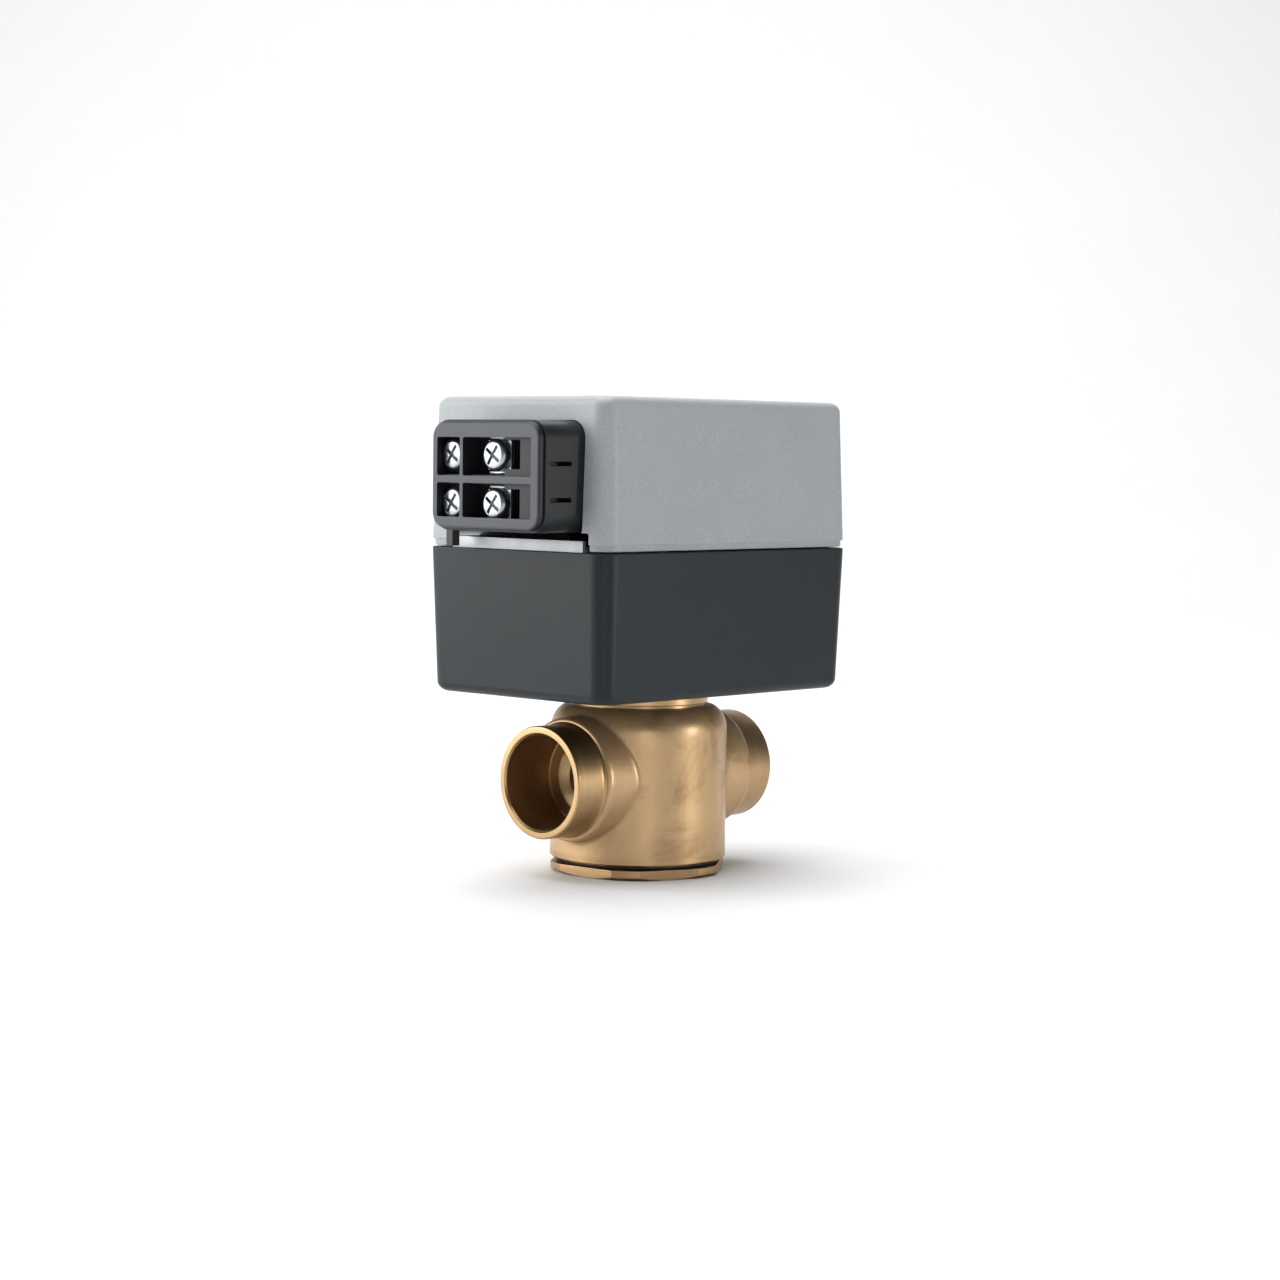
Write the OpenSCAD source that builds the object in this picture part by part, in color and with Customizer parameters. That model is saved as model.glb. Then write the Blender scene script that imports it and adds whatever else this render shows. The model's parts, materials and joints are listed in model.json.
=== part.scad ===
// Motorised zone valve: a rotary-shoe brass valve with two solder sockets, and a
// spring-return actuator that latches onto its neck.
// Millimetres. Origin: centre of the bottom cap's lower face, on the stem axis.
// +X along the pipe towards port B, -X is the terminal end, +Z up the stem.

/* [Ports] */
// Height of the pipe axis above the bottom face
port_z = 23; // [22:0.5:24]
// Face-to-face length over both ports
port_span = 66; // [64:1:70]
// Radius of the solder socket bore
socket_r = 11.15; // [10.9:0.05:11.3]
// Depth of each solder socket
socket_depth = 14.5; // [13:0.5:15]
// Outer radius of each port
port_r = 13; // [12.5:0.1:13.4]

/* [Valve body] */
// Radius of the round body
body_r = 20.8; // [20.4:0.1:21.4]
// Radius of the chamber in which the shoe swings
chamber_r = 16.5; // [16.4:0.05:16.6]
// Radius of the seat bore that the shoe closes
seat_r = 5.8; // [5:0.1:5.8]
// Angle the stem turns from closed to open
travel = 44; // [40:1:44]

/* [Actuator housing] */
// Length of the housing at the split line
box_l = 84.6; // [84.4:0.1:86]
// Width of the housing at the split line
box_w = 58.2; // [58:0.1:60]
// Height of the lower face of the base
base_z = 42.8; // [42.8:0.1:43]
// Height of the split line
split_z = 76.4; // [76.4:0.1:76.5]
// Height of the top of the cover
top_z = 110.9; // [110.8:0.1:111.4]
// Thickness of the moulded walls
wall = 2; // [1.8:0.1:2]
// Radius of the upright corners
corner_r = 4.6; // [4:0.1:5]
// Draft of each half, per side
draft = 1.15; // [0.8:0.05:1.3]

/* [Terminal block] */
// Width of the terminal block
block_w = 35.2; // [35:0.1:36]
// Lower edge of the terminal block
block_z0 = 80.8; // [80.8:0.1:81]
// Upper edge of the terminal block
block_z1 = 105.4; // [105:0.1:106.2]
// How far the front stands out from the stem axis
block_front = 55; // [54.5:0.1:56]

/* [Gears] */
// Teeth of the output sector's full circle
sector_n = 50; // [50:1:50]
// Teeth of the two large wheels
wheel_n = 40; // [40:1:40]
// Teeth of the two cluster pinions
pinion_n = 12; // [12:1:12]
// Teeth of the motor pinion
motor_n = 10; // [10:1:10]

/* [Hidden] */
$fn = 64;

e = 0.01;          // small overlap where two cuts meet
thread_r = 1.5;    // tapped and clearance holes of the small screws
shank_r = 1.48;    // small screw shanks

// colours
brass = "#b08a55";
steel = "#b9bcc0";
zinc = "#c9ccd0";
dark = "#34373b";
cover_grey = "#8e9092";
slate = "#2b2e33";
rubber = "#1b1b1c";
bronze = "#9a6a3c";
nylon = "#e6e2d6";
copper = "#b5653a";
red = "#b03028";

// valve heights
body_z0 = 3.3;
cap_flange = 2.4;
cap_ring_r = 0.44;
plug_r = 18.1;
plug_bore_r = 18.2;
plug_top = 9.6;
chamber_top = 33.5;
stem_r = 3;
stem_bore_r = 3.06;
neck_r = 12;
collar_r = 16.2;
neck_top = 49.7;
latch_groove_r = 10.4;
latch_groove = [45.5, 47.3];
gland_r = 6;
gland_z = 44.7;
clip_groove_r = 6.7;
clip_z = [48.6, 49.4];
drive_flat = 4.2;
drive_top = 54.5;

// shoe
shoe_half = travel - 21;
shoe_clear = 0.2;
shoe_r0 = 14.5;
shoe_h = 14.4;

// actuator layout
floor_t = 2.2;
cavity_z = base_z + floor_t;
plate_t = 1.4;
plate_z = split_z - plate_t;
cover_gap = 0.3;
edge_fillet = 2.2;
reveal_depth = 0.5;
reveal_h = 1.5;
plate_half = [box_l / 2 - wall - 0.4, box_w / 2 - wall - 0.4];
plate_screw_at = [for (x = [-34.5, 36], y = [-22.3, 22.3]) [x, y]];
pillar_at = [[27.5, 22.8], [-28, -22.8]];
flange_y = [-22.1, 19.8];
slot_y = [-24.2, 20.3];
flange_top = 79;
flange_x = 41.9;

// gear train: module, then height of each mesh
m_motor = 0.5;
m_first = 0.6;
m_out = 0.8;
pressure = 25;
addendum = 0.85;
dedendum = 1.1;
flank_gap = 0.03;
motor_at = [15, 0];
out_dist = m_out * (sector_n + pinion_n) / 2;
second_dir = 27.5;
second_at = out_dist * [cos(second_dir), sin(second_dir)];
first_motor = m_motor * (wheel_n + motor_n) / 2;
first_second = m_first * (wheel_n + pinion_n) / 2;
span_ms = norm(second_at - motor_at);
foot_ms = (pow(first_motor, 2) - pow(first_second, 2) + pow(span_ms, 2)) / (2 * span_ms);
along_ms = (second_at - motor_at) / span_ms;
first_at = motor_at + foot_ms * along_ms
  + sqrt(pow(first_motor, 2) - pow(foot_ms, 2)) * [along_ms[1], -along_ms[0]];
out_mesh = [57, 61];
mid_mesh = [65, 67.5];
fast_mesh = [70, 72.5];
axle_r = 1.5;
axle_bore_r = 1.56;
lower_boss_top = 55.5;

// output hub and lever
hub_r = 7;
hub_z = 50.2;
hub_shoulder = 74;
journal_r = 5;
arm_z = 79.3;
arm_t = 1.2;
lever_rest = 180 - 17;
lever_in = 48.2;
lever_out = 50;
cam_low = 13.4;
cam_rise = 1.2;

// motor
motor_z = 83.8;
motor_r = 22;
motor_h = 18.2;
ear_dist = 25.5;
ear_dir = [-50, 130];
ear_at = [for (a = ear_dir) motor_at + ear_dist * [cos(a), sin(a)]];

// release latch
release_travel = 3.2;
latch_z = 45.7;
latch_t = 1.4;
button_out = 45.2;
button_z = [46.2, 53.6];
button_half = 5;
spring_z = 50.6;
post_x = [24, 26];

// end switch
switch_half = 10;
switch_y = [-26, -16];
switch_zs = [77, 83.2];
switch_gap = 0.2;
switch_hole_x = [-7, 7];
switch_hole_y = -21;
switch_sink = 1.5;

// terminals
block_y1 = 13.2;
block_y0 = block_y1 - block_w;
bezel_t = 1.5;
term_y = [8.3, -5];
term_z = [97.6, 86.8];
pocket_y = [[3.6, 12.1], [-9.1, 2.6]];
entry_y = [-14, -9];
back_y = [-24.9, 17.8];
slit_z = [88, 95.9];
slit_depth = [3, 0.6];
clamp_x = [-50.9, -49.7];
rib_y = [2.6, 3.6];
rib_z = [91.4, 93];
tail_x = [-37.5, -33];

// ---------- helpers ----------
function unit(v) = v / norm(v);
function polar(r, a) = [r * cos(a), r * sin(a)];
function inv(a) = tan(a) * 180 / PI - a;
function angle_of(a, b) = atan2(b[1] - a[1], b[0] - a[0]);
// phase of a gear that meshes with another whose phase is known
function mesh_phase(beta, phase, n_from, n_to) =
  beta + 180 + 180 / n_to + (beta - phase) * n_from / n_to;

module ring(r_out, r_in, z0, z1) {
  translate([0, 0, z0]) difference() {
    cylinder(r = r_out, h = z1 - z0);
    translate([0, 0, -1]) cylinder(r = r_in, h = z1 - z0 + 2);
  }
}

module rod(r, z0, z1) {
  translate([0, 0, z0]) cylinder(r = r, h = z1 - z0);
}

module rounded(l, w, r) {
  square([l - 2 * r, w], center = true);
  square([l, w - 2 * r], center = true);
  for (sx = [-1, 1], sy = [-1, 1])
    translate([sx * (l / 2 - r), sy * (w / 2 - r)]) circle(r);
}

module slab(l, w, r, z0, t) {
  translate([0, 0, z0]) linear_extrude(t) rounded(l, w, r);
}

module block_between(lo, hi) {
  translate(lo) cube(hi - lo);
}

// a drafted box with a rounded closed edge at z_end
module drafted(inset, z_open, z_end, fillet, steps = 4) {
  dir = sign(z_end - z_open);
  hull() {
    slab(box_l - 2 * inset, box_w - 2 * inset, corner_r - inset / 2, z_open - (dir > 0 ? 0 : e), e, $fn = 32);
    for (i = [0:steps])
      let (a = 90 * i / steps,
           side = draft + inset + fillet * (1 - cos(a)),
           z = z_end - dir * fillet * (1 - sin(a)))
        slab(box_l - 2 * side, box_w - 2 * side, max(1, corner_r - inset / 2 - fillet * (1 - cos(a)) / 2),
             z - (dir > 0 ? e : 0), e, $fn = 32);
  }
}

// toothed outline: points of the teeth from k0 to k1 of an n-tooth involute gear
function gear_points(n, m, k0, k1, phase) =
  let (r = n * m / 2,
       base_r = r * cos(pressure),
       tip_r = r + addendum * m,
       root_r = r - dedendum * m,
       start_r = max(base_r, root_r),
       slack = flank_gap / r * 180 / PI,
       rs = [for (i = [0:2]) start_r + (tip_r - start_r) * i / 2],
       half = [for (q = rs) 90 / n - slack + inv(pressure) - inv(acos(base_r / q))])
  [for (k = [k0:k1]) let (t = phase + 360 * k / n)
    each [polar(root_r, t - half[0]),
          for (i = [0:2]) polar(rs[i], t - half[i]),
          for (i = [2:-1:0]) polar(rs[i], t + half[i]),
          polar(root_r, t + half[0])]];

module gear(n, m, z, phase) {
  translate([0, 0, z[0]]) linear_extrude(z[1] - z[0])
    polygon(gear_points(n, m, 0, n - 1, phase));
}

// round tube swept along a path; up is a direction the path never follows
module tube(path, r, up, sides = 8) {
  n = len(path);
  tang = [for (i = [0:n - 1]) unit(path[min(i + 1, n - 1)] - path[max(i - 1, 0)])];
  points = [for (i = [0:n - 1])
    let (s = unit(cross(tang[i], up)), q = cross(s, tang[i]))
      for (k = [0:sides - 1])
        path[i] + r * (cos(360 * k / sides) * s + sin(360 * k / sides) * q)];
  sides_f = [for (i = [0:n - 2], k = [0:sides - 1])
    [i * sides + k, (i + 1) * sides + k,
     (i + 1) * sides + (k + 1) % sides, i * sides + (k + 1) % sides]];
  caps = [[for (k = [0:sides - 1]) k], [for (k = [sides - 1:-1:0]) (n - 1) * sides + k]];
  polyhedron(points, concat(sides_f, caps));
}

// screw with a drilled drive recess; grip is the height under the head
module screw(grip, length, head_r, head_t) {
  difference() {
    union() {
      rod(shank_r, grip - length, grip + e);
      rod(head_r, grip, grip + head_t);
    }
    translate([0, 0, grip + head_t - 0.35])
      for (a = [0, 90]) rotate(a) cube([head_r * 1.3, 0.6, 1], center = true);
  }
}

// ---------- valve ----------
module body_profile() {
  shoulder = [for (a = [0:10:60]) [body_r - 6 + 6 * cos(a), 34 + 6 * sin(a)]];
  polygon(concat(
    [[plug_bore_r, body_z0], [body_r - 0.4, body_z0], [body_r, body_z0 + 0.4]],
    shoulder,
    [[15.6, 39.2], [15.6, 40], [collar_r, 40], [collar_r, base_z - 0.3], [collar_r - 0.3, base_z],
     [neck_r, base_z], [neck_r, latch_groove[0]], [latch_groove_r, latch_groove[0]],
     [latch_groove_r, latch_groove[1]], [neck_r, latch_groove[1]], [neck_r, neck_top - 0.5],
     [neck_r - 0.5, neck_top], [gland_r, neck_top], [gland_r, clip_z[1]],
     [clip_groove_r, clip_z[1]], [clip_groove_r, clip_z[0]], [gland_r, clip_z[0]],
     [gland_r, gland_z], [stem_bore_r, gland_z], [stem_bore_r, chamber_top],
     [chamber_r, chamber_top], [chamber_r, plug_top + 0.2], [plug_bore_r, plug_top + 0.2]]));
}

module port_outside() {
  rotate([0, 90, 0]) rotate_extrude()
    polygon([[0, 12], [14.3, 12], [14.3, 23.6], [13.9, 24.5], [port_r, 24.9],
             [port_r, port_span / 2 - 0.3], [port_r - 0.3, port_span / 2], [0, port_span / 2]]);
}

module port_inside(bore) {
  stop = port_span / 2 - socket_depth;
  rotate([0, 90, 0]) rotate_extrude()
    polygon([[0, 8], [bore, 8], [bore, stop - 1.2], [bore + 1.8, stop], [socket_r, stop],
             [socket_r, port_span / 2 + 1], [0, port_span / 2 + 1]]);
}

module valve_body() {
  color(brass) difference() {
    union() {
      rotate_extrude() body_profile();
      difference() {
        translate([0, 0, port_z]) {
          port_outside();
          mirror([1, 0, 0]) port_outside();
        }
        rod(chamber_r + 2, 5, 36);
      }
    }
    translate([0, 0, port_z]) {
      port_inside(seat_r + 1);
      mirror([1, 0, 0]) port_inside(seat_r);
    }
  }
}

module bottom_cap() {
  color(brass) difference() {
    union() {
      intersection() {
        rod(21, 0, cap_flange);
        rotate(36) cylinder(r = 39.4 / sqrt(3), h = cap_flange, $fn = 6);
      }
      rod(plug_r, cap_flange - e, plug_top);
    }
    difference() {
      rod(14, 3.4, plug_top + 1);
      rod(5, 3, 9);
    }
    rod(3.5, 4, plug_top + 1);
  }
}

module cap_o_ring() {
  color(rubber) translate([0, 0, (cap_flange + body_z0) / 2])
    rotate_extrude() translate([plug_bore_r + cap_ring_r + 0.02, 0]) circle(cap_ring_r);
}

module lower_bearing() {
  color(bronze) ring(3.48, 2.55, 4.1, 9);
}

module stem() {
  color(steel) difference() {
    union() {
      rod(2.5, 4.4, plug_top + e);
      rod(stem_r, plug_top, neck_top);
      intersection() {
        rod(stem_r, neck_top - e, drive_top);
        translate([-5, -drive_flat / 2, neck_top - 1]) cube([10, drive_flat, 8]);
      }
    }
    for (z = [36, 40.4]) ring(stem_r + 1, 2.2, z, z + 1.7);
    translate([0, 0, 30.6]) rotate([90, 0, 0]) cylinder(r = 1, h = 10, center = true);
  }
}

module stem_o_rings() {
  color(rubber) for (z = [36, 40.4])
    translate([0, 0, z + 0.85]) rotate_extrude() translate([2.62, 0]) circle(0.41);
}

module wedge(r0, r1, half, z0, z1) {
  translate([0, 0, z0]) linear_extrude(z1 - z0) intersection() {
    difference() {
      circle(r1);
      circle(r0);
    }
    polygon([[0, 0], polar(2 * r1, 180 - half), polar(2 * r1, 180 + half)]);
  }
}

module shoe_carrier() {
  color(steel) difference() {
    union() {
      rod(5.6, 13, 33);
      wedge(12.4, shoe_r0, shoe_half - 2, port_z - 6.2, port_z + 6.2);
      block_between([-13, -3, port_z - 5], [0, 3, port_z + 5]);
    }
    rod(stem_r + 0.01, 12, 34);
    translate([0, 0, 30.6]) rotate([90, 0, 0]) cylinder(r = 1, h = 20, center = true);
  }
}

module shoe_seal() {
  color(rubber) wedge(shoe_r0 + e, chamber_r - shoe_clear, shoe_half,
                      port_z - shoe_h / 2, port_z + shoe_h / 2);
}

module carrier_pin() {
  color(zinc) translate([0, 0, 30.6]) rotate([90, 0, 0]) cylinder(r = 0.99, h = 11, center = true);
}

module gland_bush() {
  color(bronze) ring(gland_r - 0.02, stem_bore_r, gland_z, clip_z[0]);
}

module gland_clip() {
  color(steel) difference() {
    ring(clip_groove_r - 0.1, 4.9, clip_z[0] + 0.05, clip_z[1] - 0.05);
    block_between([0, -1.2, clip_z[0] - 1], [9, 1.2, clip_z[1] + 1]);
  }
}

// ---------- actuator housing ----------
module base_housing() {
  post_half = button_half + 0.4;
  color(slate) difference() {
    union() {
      difference() {
        drafted(0, split_z, base_z, edge_fillet);
        intersection() {
          drafted(wall, split_z + 1, cavity_z, 1.2);
          block_between([-60, -60, cavity_z], [60, 60, split_z + 1]);
        }
      }
      for (p = plate_screw_at) translate(p) rod(3.4, cavity_z - e, plate_z);
      translate(second_at) rod(3, cavity_z - e, lower_boss_top);
      for (s = [-1, 1]) {
        // guide rails beside the latch plate
        block_between([-8, s > 0 ? 15.3 : -17.3, cavity_z - e],
                      [14, s > 0 ? 17.3 : -15.3, latch_z + latch_t + 0.4]);
        block_between([post_x[0], s > 0 ? post_half : -post_half - 2, cavity_z - e],
                      [post_x[1], s > 0 ? post_half + 2 : -post_half, 53.6]);
      }
      block_between([post_x[0], -post_half, latch_z + latch_t + 0.4], [post_x[1], post_half, 53.6]);
    }
    rod(neck_r + 0.25, base_z - 1, cavity_z + 1);
    for (p = plate_screw_at) translate(p) rod(thread_r, 62, plate_z + 1);
    translate(second_at) rod(axle_r + 0.02, 47.5, lower_boss_top + 1);
    block_between([38, -button_half - 0.2, button_z[0] - 0.2],
                  [46, button_half + 0.2, button_z[1] + 0.2]);
  }
}

module cover() {
  z0 = split_z + cover_gap;
  color(cover_grey) difference() {
    union() {
      difference() {
        drafted(0, z0, top_z, edge_fillet);
        drafted(wall, z0 - 1, top_z - floor_t, 1.2);
      }
      for (p = pillar_at) translate(p) rod(4, top_z - 4, top_z - floor_t + e);
    }
    for (p = pillar_at) translate(p) {
      rod(thread_r + 0.15, 100, top_z + 1);
      rod(3.1, top_z - 1.6, top_z + 1);
    }
    // shadow line above the split
    difference() {
      slab(box_l + 2, box_w + 2, corner_r, z0 - 1, reveal_h + 1);
      slab(box_l - 2 * reveal_depth, box_w - 2 * reveal_depth, corner_r - reveal_depth, z0 - 2, reveal_h + 3);
    }
    // opening for the terminal block
    block_between([-46, block_y0 - 0.15, block_z0 - 2], [-37, block_y1 + 0.15, block_z1 - 3.8]);
    block_between([-46, block_y0 + 3.8, block_z0 - 2], [-37, block_y1 - 3.8, block_z1 + 0.15]);
    for (y = [block_y0 + 4, block_y1 - 4])
      translate([-46, y, block_z1 - 4]) rotate([0, 90, 0]) cylinder(r = 4.15, h = 9);
    // lever slot along the lower edge
    block_between([-46, slot_y[0], z0 - 1], [-37, slot_y[1], block_z0 - e]);
  }
}

module cover_pillars() {
  color(zinc) for (p = pillar_at) translate(p) difference() {
    union() {
      translate([0, 0, split_z]) cylinder(r = 2.9, h = top_z - 4.1 - split_z, $fn = 6);
      rod(shank_r, plate_z - 1, split_z + e);
    }
    rod(thread_r, top_z - 14, top_z);
  }
}

module cover_screws() {
  color(zinc) for (p = pillar_at) translate(p) screw(top_z - 1.6, 10, 2.9, 1.5);
}

module gear_plate() {
  color(zinc) difference() {
    union() {
      slab(2 * plate_half[0], 2 * plate_half[1], 3, plate_z, plate_t);
      block_between([-flange_x, flange_y[0], split_z + 0.05], [-39.3, flange_y[1], split_z + 1.25]);
      block_between([-39.9, flange_y[0], split_z - 0.5], [-39.3, flange_y[1], split_z + 1.25]);
      block_between([-flange_x, flange_y[0], split_z + 0.05], [-flange_x + 1.2, flange_y[1], flange_top]);
    }
    rod(6.5, plate_z - 1, split_z + 1);
    translate(motor_at) rod(4.5, plate_z - 1, split_z + 1);
    for (p = [first_at, second_at]) translate(p) rod(axle_r, plate_z - 1, split_z + 1);
    for (p = concat(plate_screw_at, pillar_at, ear_at)) translate(p) rod(thread_r, plate_z - 1, split_z + 1);
    for (x = switch_hole_x) translate([x, switch_hole_y]) rod(1.1, plate_z - 1, split_z + 1);
  }
}

module plate_screws() {
  color(steel) for (p = plate_screw_at) translate(p) screw(split_z, 10, 2.7, 1.7);
}

// ---------- output train ----------
module hub_bush() {
  color(bronze) union() {
    ring(6.48, journal_r + 0.05, plate_z - 0.1, split_z + 0.6);
    ring(7.4, journal_r + 0.05, hub_shoulder + 0.1, plate_z);
  }
}

module drive_hub() {
  color(nylon) difference() {
    union() {
      rod(8.4, hub_z, out_mesh[0]);
      rod(hub_r, out_mesh[0] - e, hub_shoulder);
      rod(journal_r, hub_shoulder - e, arm_z);
      intersection() {
        rod(4, arm_z - e, 82.4);
        translate([-5, -3.2, arm_z - 1]) cube([10, 6.4, 6]);
      }
    }
    block_between([-3.1, -drive_flat / 2 - 0.08, hub_z - 1], [3.1, drive_flat / 2 + 0.08, drive_top + 0.3]);
    ring(6, 3, arm_z + arm_t + 0.1, arm_z + arm_t + 0.8);
  }
}

module sector_gear() {
  teeth = ceil(travel / (360 / sector_n)) + 2;
  color(steel) translate([0, 0, out_mesh[0]]) linear_extrude(out_mesh[1] - out_mesh[0] - 2) difference() {
    union() {
      circle(11.5);
      polygon(concat([[0, 0]], gear_points(sector_n, m_out, -teeth, 2, second_dir)));
    }
    circle(hub_r + 0.01);
    translate(polar(9.4, 200)) circle(0.9);
  }
}

module lever_arm() {
  steps = 12;
  lobe = [for (i = [0:steps]) let (a = travel * i / steps)
    polar(cam_low + cam_rise * a / travel, 270 - a)];
  color(steel) difference() {
    union() {
      rod(8, arm_z, arm_z + arm_t);
      translate([0, 0, arm_z]) linear_extrude(arm_t)
        polygon(concat([polar(6, 276), polar(cam_low, 276)], lobe,
                       [polar(cam_low + cam_rise, 264 - travel), polar(6, 264 - travel)]));
      translate([0, 0, arm_z]) linear_extrude(arm_t)
        rotate(lever_rest) polygon([[0, -6], [12, -4], [34, -1.5], [lever_in + 0.9, -1.5],
                                    [lever_in + 0.9, 1.5], [34, 1.5], [12, 4], [0, 6]]);
    }
    intersection() {
      rod(4.02, arm_z - 1, arm_z + arm_t + 1);
      block_between([-5, -3.22, arm_z - 2], [5, 3.22, arm_z + arm_t + 2]);
    }
  }
}

module lever_tip() {
  half = 1.6;
  color(dark) rotate(lever_rest) difference() {
    hull() {
      block_between([lever_in, -half, 77.4], [lever_out - 0.5, half, arm_z + arm_t + 0.15]);
      block_between([lever_in, -half + 0.4, 77], [lever_out, half - 0.4, arm_z + arm_t]);
    }
    block_between([lever_in - 1, -1.5, arm_z], [lever_in + 0.9, 1.5, arm_z + arm_t]);
  }
}

module hub_clip() {
  z0 = arm_z + arm_t + 0.12;
  color(steel) difference() {
    ring(5.6, 3.02, z0, z0 + 0.6);
    block_between([0, -1.5, z0 - 1], [7, 1.5, z0 + 2]);
  }
}

module return_spring() {
  turns = 5;
  coil_r = 9.4;
  z0 = out_mesh[1] - 0.6;
  z1 = hub_shoulder - 1.2;
  steps = 24;
  coil = [for (i = [0:turns * steps])
    [coil_r * cos(200 + 360 * i / steps), coil_r * sin(200 + 360 * i / steps),
     z0 + (z1 - z0) * i / (turns * steps)]];
  last = coil[len(coil) - 1];
  color(steel) tube(concat(coil, [last + [1.2, -3.4, 0.1], last + [2.1, -6, 0.1]]), 0.6, [0, 0, 1]);
}

module second_axle() {
  color(steel) translate(second_at) rod(axle_r, 47.6, split_z);
}

module second_gear() {
  color(nylon) translate(second_at) difference() {
    union() {
      gear(pinion_n, m_out, out_mesh, mesh_phase(second_dir, second_dir, sector_n, pinion_n));
      gear(wheel_n, m_first, mid_mesh, 0);
      rod(3.2, lower_boss_top + 0.2, plate_z - 0.2);
    }
    rod(axle_bore_r, 50, 80);
  }
}

module first_axle() {
  color(steel) translate(first_at) difference() {
    rod(axle_r, 62.6, split_z);
    ring(3, 1.1, 63.3, 64);
  }
}

module first_gear() {
  beta = angle_of(second_at, first_at);
  color(brass) translate(first_at) difference() {
    union() {
      gear(pinion_n, m_first, [64.3, 68.4], mesh_phase(beta, 0, wheel_n, pinion_n));
      gear(wheel_n, m_motor, fast_mesh, 0);
      rod(3, 68, plate_z - 0.2);
    }
    rod(axle_bore_r, 60, 80);
  }
}

module axle_clip() {
  color(steel) translate(first_at) difference() {
    ring(2.7, 1.12, 63.35, 63.95);
    block_between([0, -0.8, 63], [4, 0.8, 65]);
  }
}

// ---------- motor ----------
module motor_pinion() {
  beta = angle_of(first_at, motor_at);
  color(brass) translate(motor_at) difference() {
    gear(motor_n, m_motor, [69.8, 73], mesh_phase(beta, 0, wheel_n, motor_n));
    rod(1, 60, 80);
  }
}

module rotor_shaft() {
  color(steel) translate(motor_at) rod(0.99, 69.6, motor_z + motor_h - 0.3);
}

module rotor() {
  color("#4a4a4c") translate(motor_at) difference() {
    union() {
      rod(14.2, motor_z + 3.2, motor_z + 14.4);
      rod(4, motor_z + 2.4, motor_z + 15.4);
    }
    rod(1, motor_z, motor_z + 20);
  }
}

module rotor_bushes() {
  color(bronze) translate(motor_at) {
    ring(3, 1.05, motor_z - 0.8, motor_z + 2.2);
    ring(3, 1.05, motor_z + 15.6, motor_z + motor_h + 0.4);
  }
}

module motor_base() {
  color(zinc) difference() {
    union() {
      translate(motor_at) rod(motor_r, motor_z, motor_z + 1);
      for (p = ear_at) {
        translate(p) rod(3.4, motor_z, motor_z + 1);
        dir = unit(p - motor_at);
        translate([(p + motor_at)[0] / 2, (p + motor_at)[1] / 2, motor_z])
          rotate(atan2(dir[1], dir[0])) translate([-ear_dist / 2, -3.4, 0]) cube([ear_dist, 6.8, 1]);
      }
    }
    translate(motor_at) rod(3, motor_z - 1, motor_z + 2);
    for (p = ear_at) translate(p) rod(thread_r, motor_z - 1, motor_z + 2);
  }
}

module motor_can() {
  z0 = motor_z + 1;
  z1 = motor_z + motor_h;
  color(zinc) translate(motor_at) difference() {
    union() {
      rod(motor_r - 0.6, z0, z1 - 1.2);
      translate([0, 0, z1 - 1.2 - e]) cylinder(r1 = motor_r - 0.6, r2 = motor_r - 1.8, h = 1.2);
    }
    rod(motor_r - 1.4, z0 - 1, z1 - 1.2);
    rod(3, z0, z1 + 1);
    // window for the leads
    block_between([-motor_r - 1, -4, z0 + 7], [-motor_r + 3, 4, z0 + 11]);
  }
}

module motor_coil() {
  color(copper) translate(motor_at) ring(motor_r - 1.5, 15, motor_z + 2.6, motor_z + 15.4);
}

module motor_spacers() {
  color(brass) for (p = ear_at) translate(p) ring(2.5, thread_r, split_z, motor_z);
}

module motor_screws() {
  color(steel) for (p = ear_at) translate(p) screw(motor_z + 1, motor_z + 1 - plate_z, 2.6, 1.7);
}

// ---------- release latch ----------
module latch_plate() {
  color(steel) translate([0, 0, latch_z]) linear_extrude(latch_t) difference() {
    union() {
      translate([-16, -15]) square([34, 30]);
      translate([17.9, -4.6]) square([17, 9.2]);
    }
    circle(latch_groove_r + 0.15);
    translate([release_travel, 0]) circle(neck_r + 0.3);
  }
}

module release_button() {
  color(red) difference() {
    union() {
      block_between([34, -button_half, button_z[0]], [button_out - 0.8, button_half, button_z[1]]);
      block_between([button_out - 0.9, -button_half + 0.6, button_z[0] + 0.6],
                    [button_out, button_half - 0.6, button_z[1] - 0.6]);
      block_between([34, -button_half - 1, button_z[0] + 1.6], [38.6, button_half + 1, button_z[1] + 0.8]);
    }
    block_between([30, -4.6, latch_z - 1], [34.9, 4.6, latch_z + latch_t]);
    translate([33, 0, spring_z]) rotate([0, 90, 0]) cylinder(r = 2.6, h = 4);
  }
}

module release_spring() {
  turns = 7;
  steps = 16;
  x0 = post_x[1] + 0.35;
  x1 = 36.6;
  color(steel) tube([for (i = [0:turns * steps]) let (a = 360 * i / steps)
    [x0 + (x1 - x0) * i / (turns * steps), 2 * cos(a), spring_z + 2 * sin(a)]], 0.3, [1, 0, 0], 6);
}

// ---------- end switch ----------
module switch_body() {
  color("#202225") difference() {
    block_between([-switch_half, switch_y[0], switch_zs[0] - 0.6], [switch_half, switch_y[1], switch_zs[1]]);
    for (x = switch_hole_x) translate([x, switch_hole_y]) {
      rod(1.1, 70, 90);
      rod(2.1, switch_zs[1] - switch_sink, 90);
    }
    block_between([-1.3, switch_y[1] - 4, arm_z - 0.3], [1.3, switch_y[1] + 1, arm_z + arm_t + 0.3]);
  }
}

module switch_plunger() {
  tip = -cam_low - switch_gap;
  color(red) block_between([-1.1, switch_y[1] - 2.4, arm_z - 0.1], [1.1, tip - 0.5, arm_z + arm_t + 0.1]);
  color(red) translate([0, tip - 1, arm_z - 0.1]) cylinder(r = 1, h = arm_t + 0.2);
}

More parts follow.
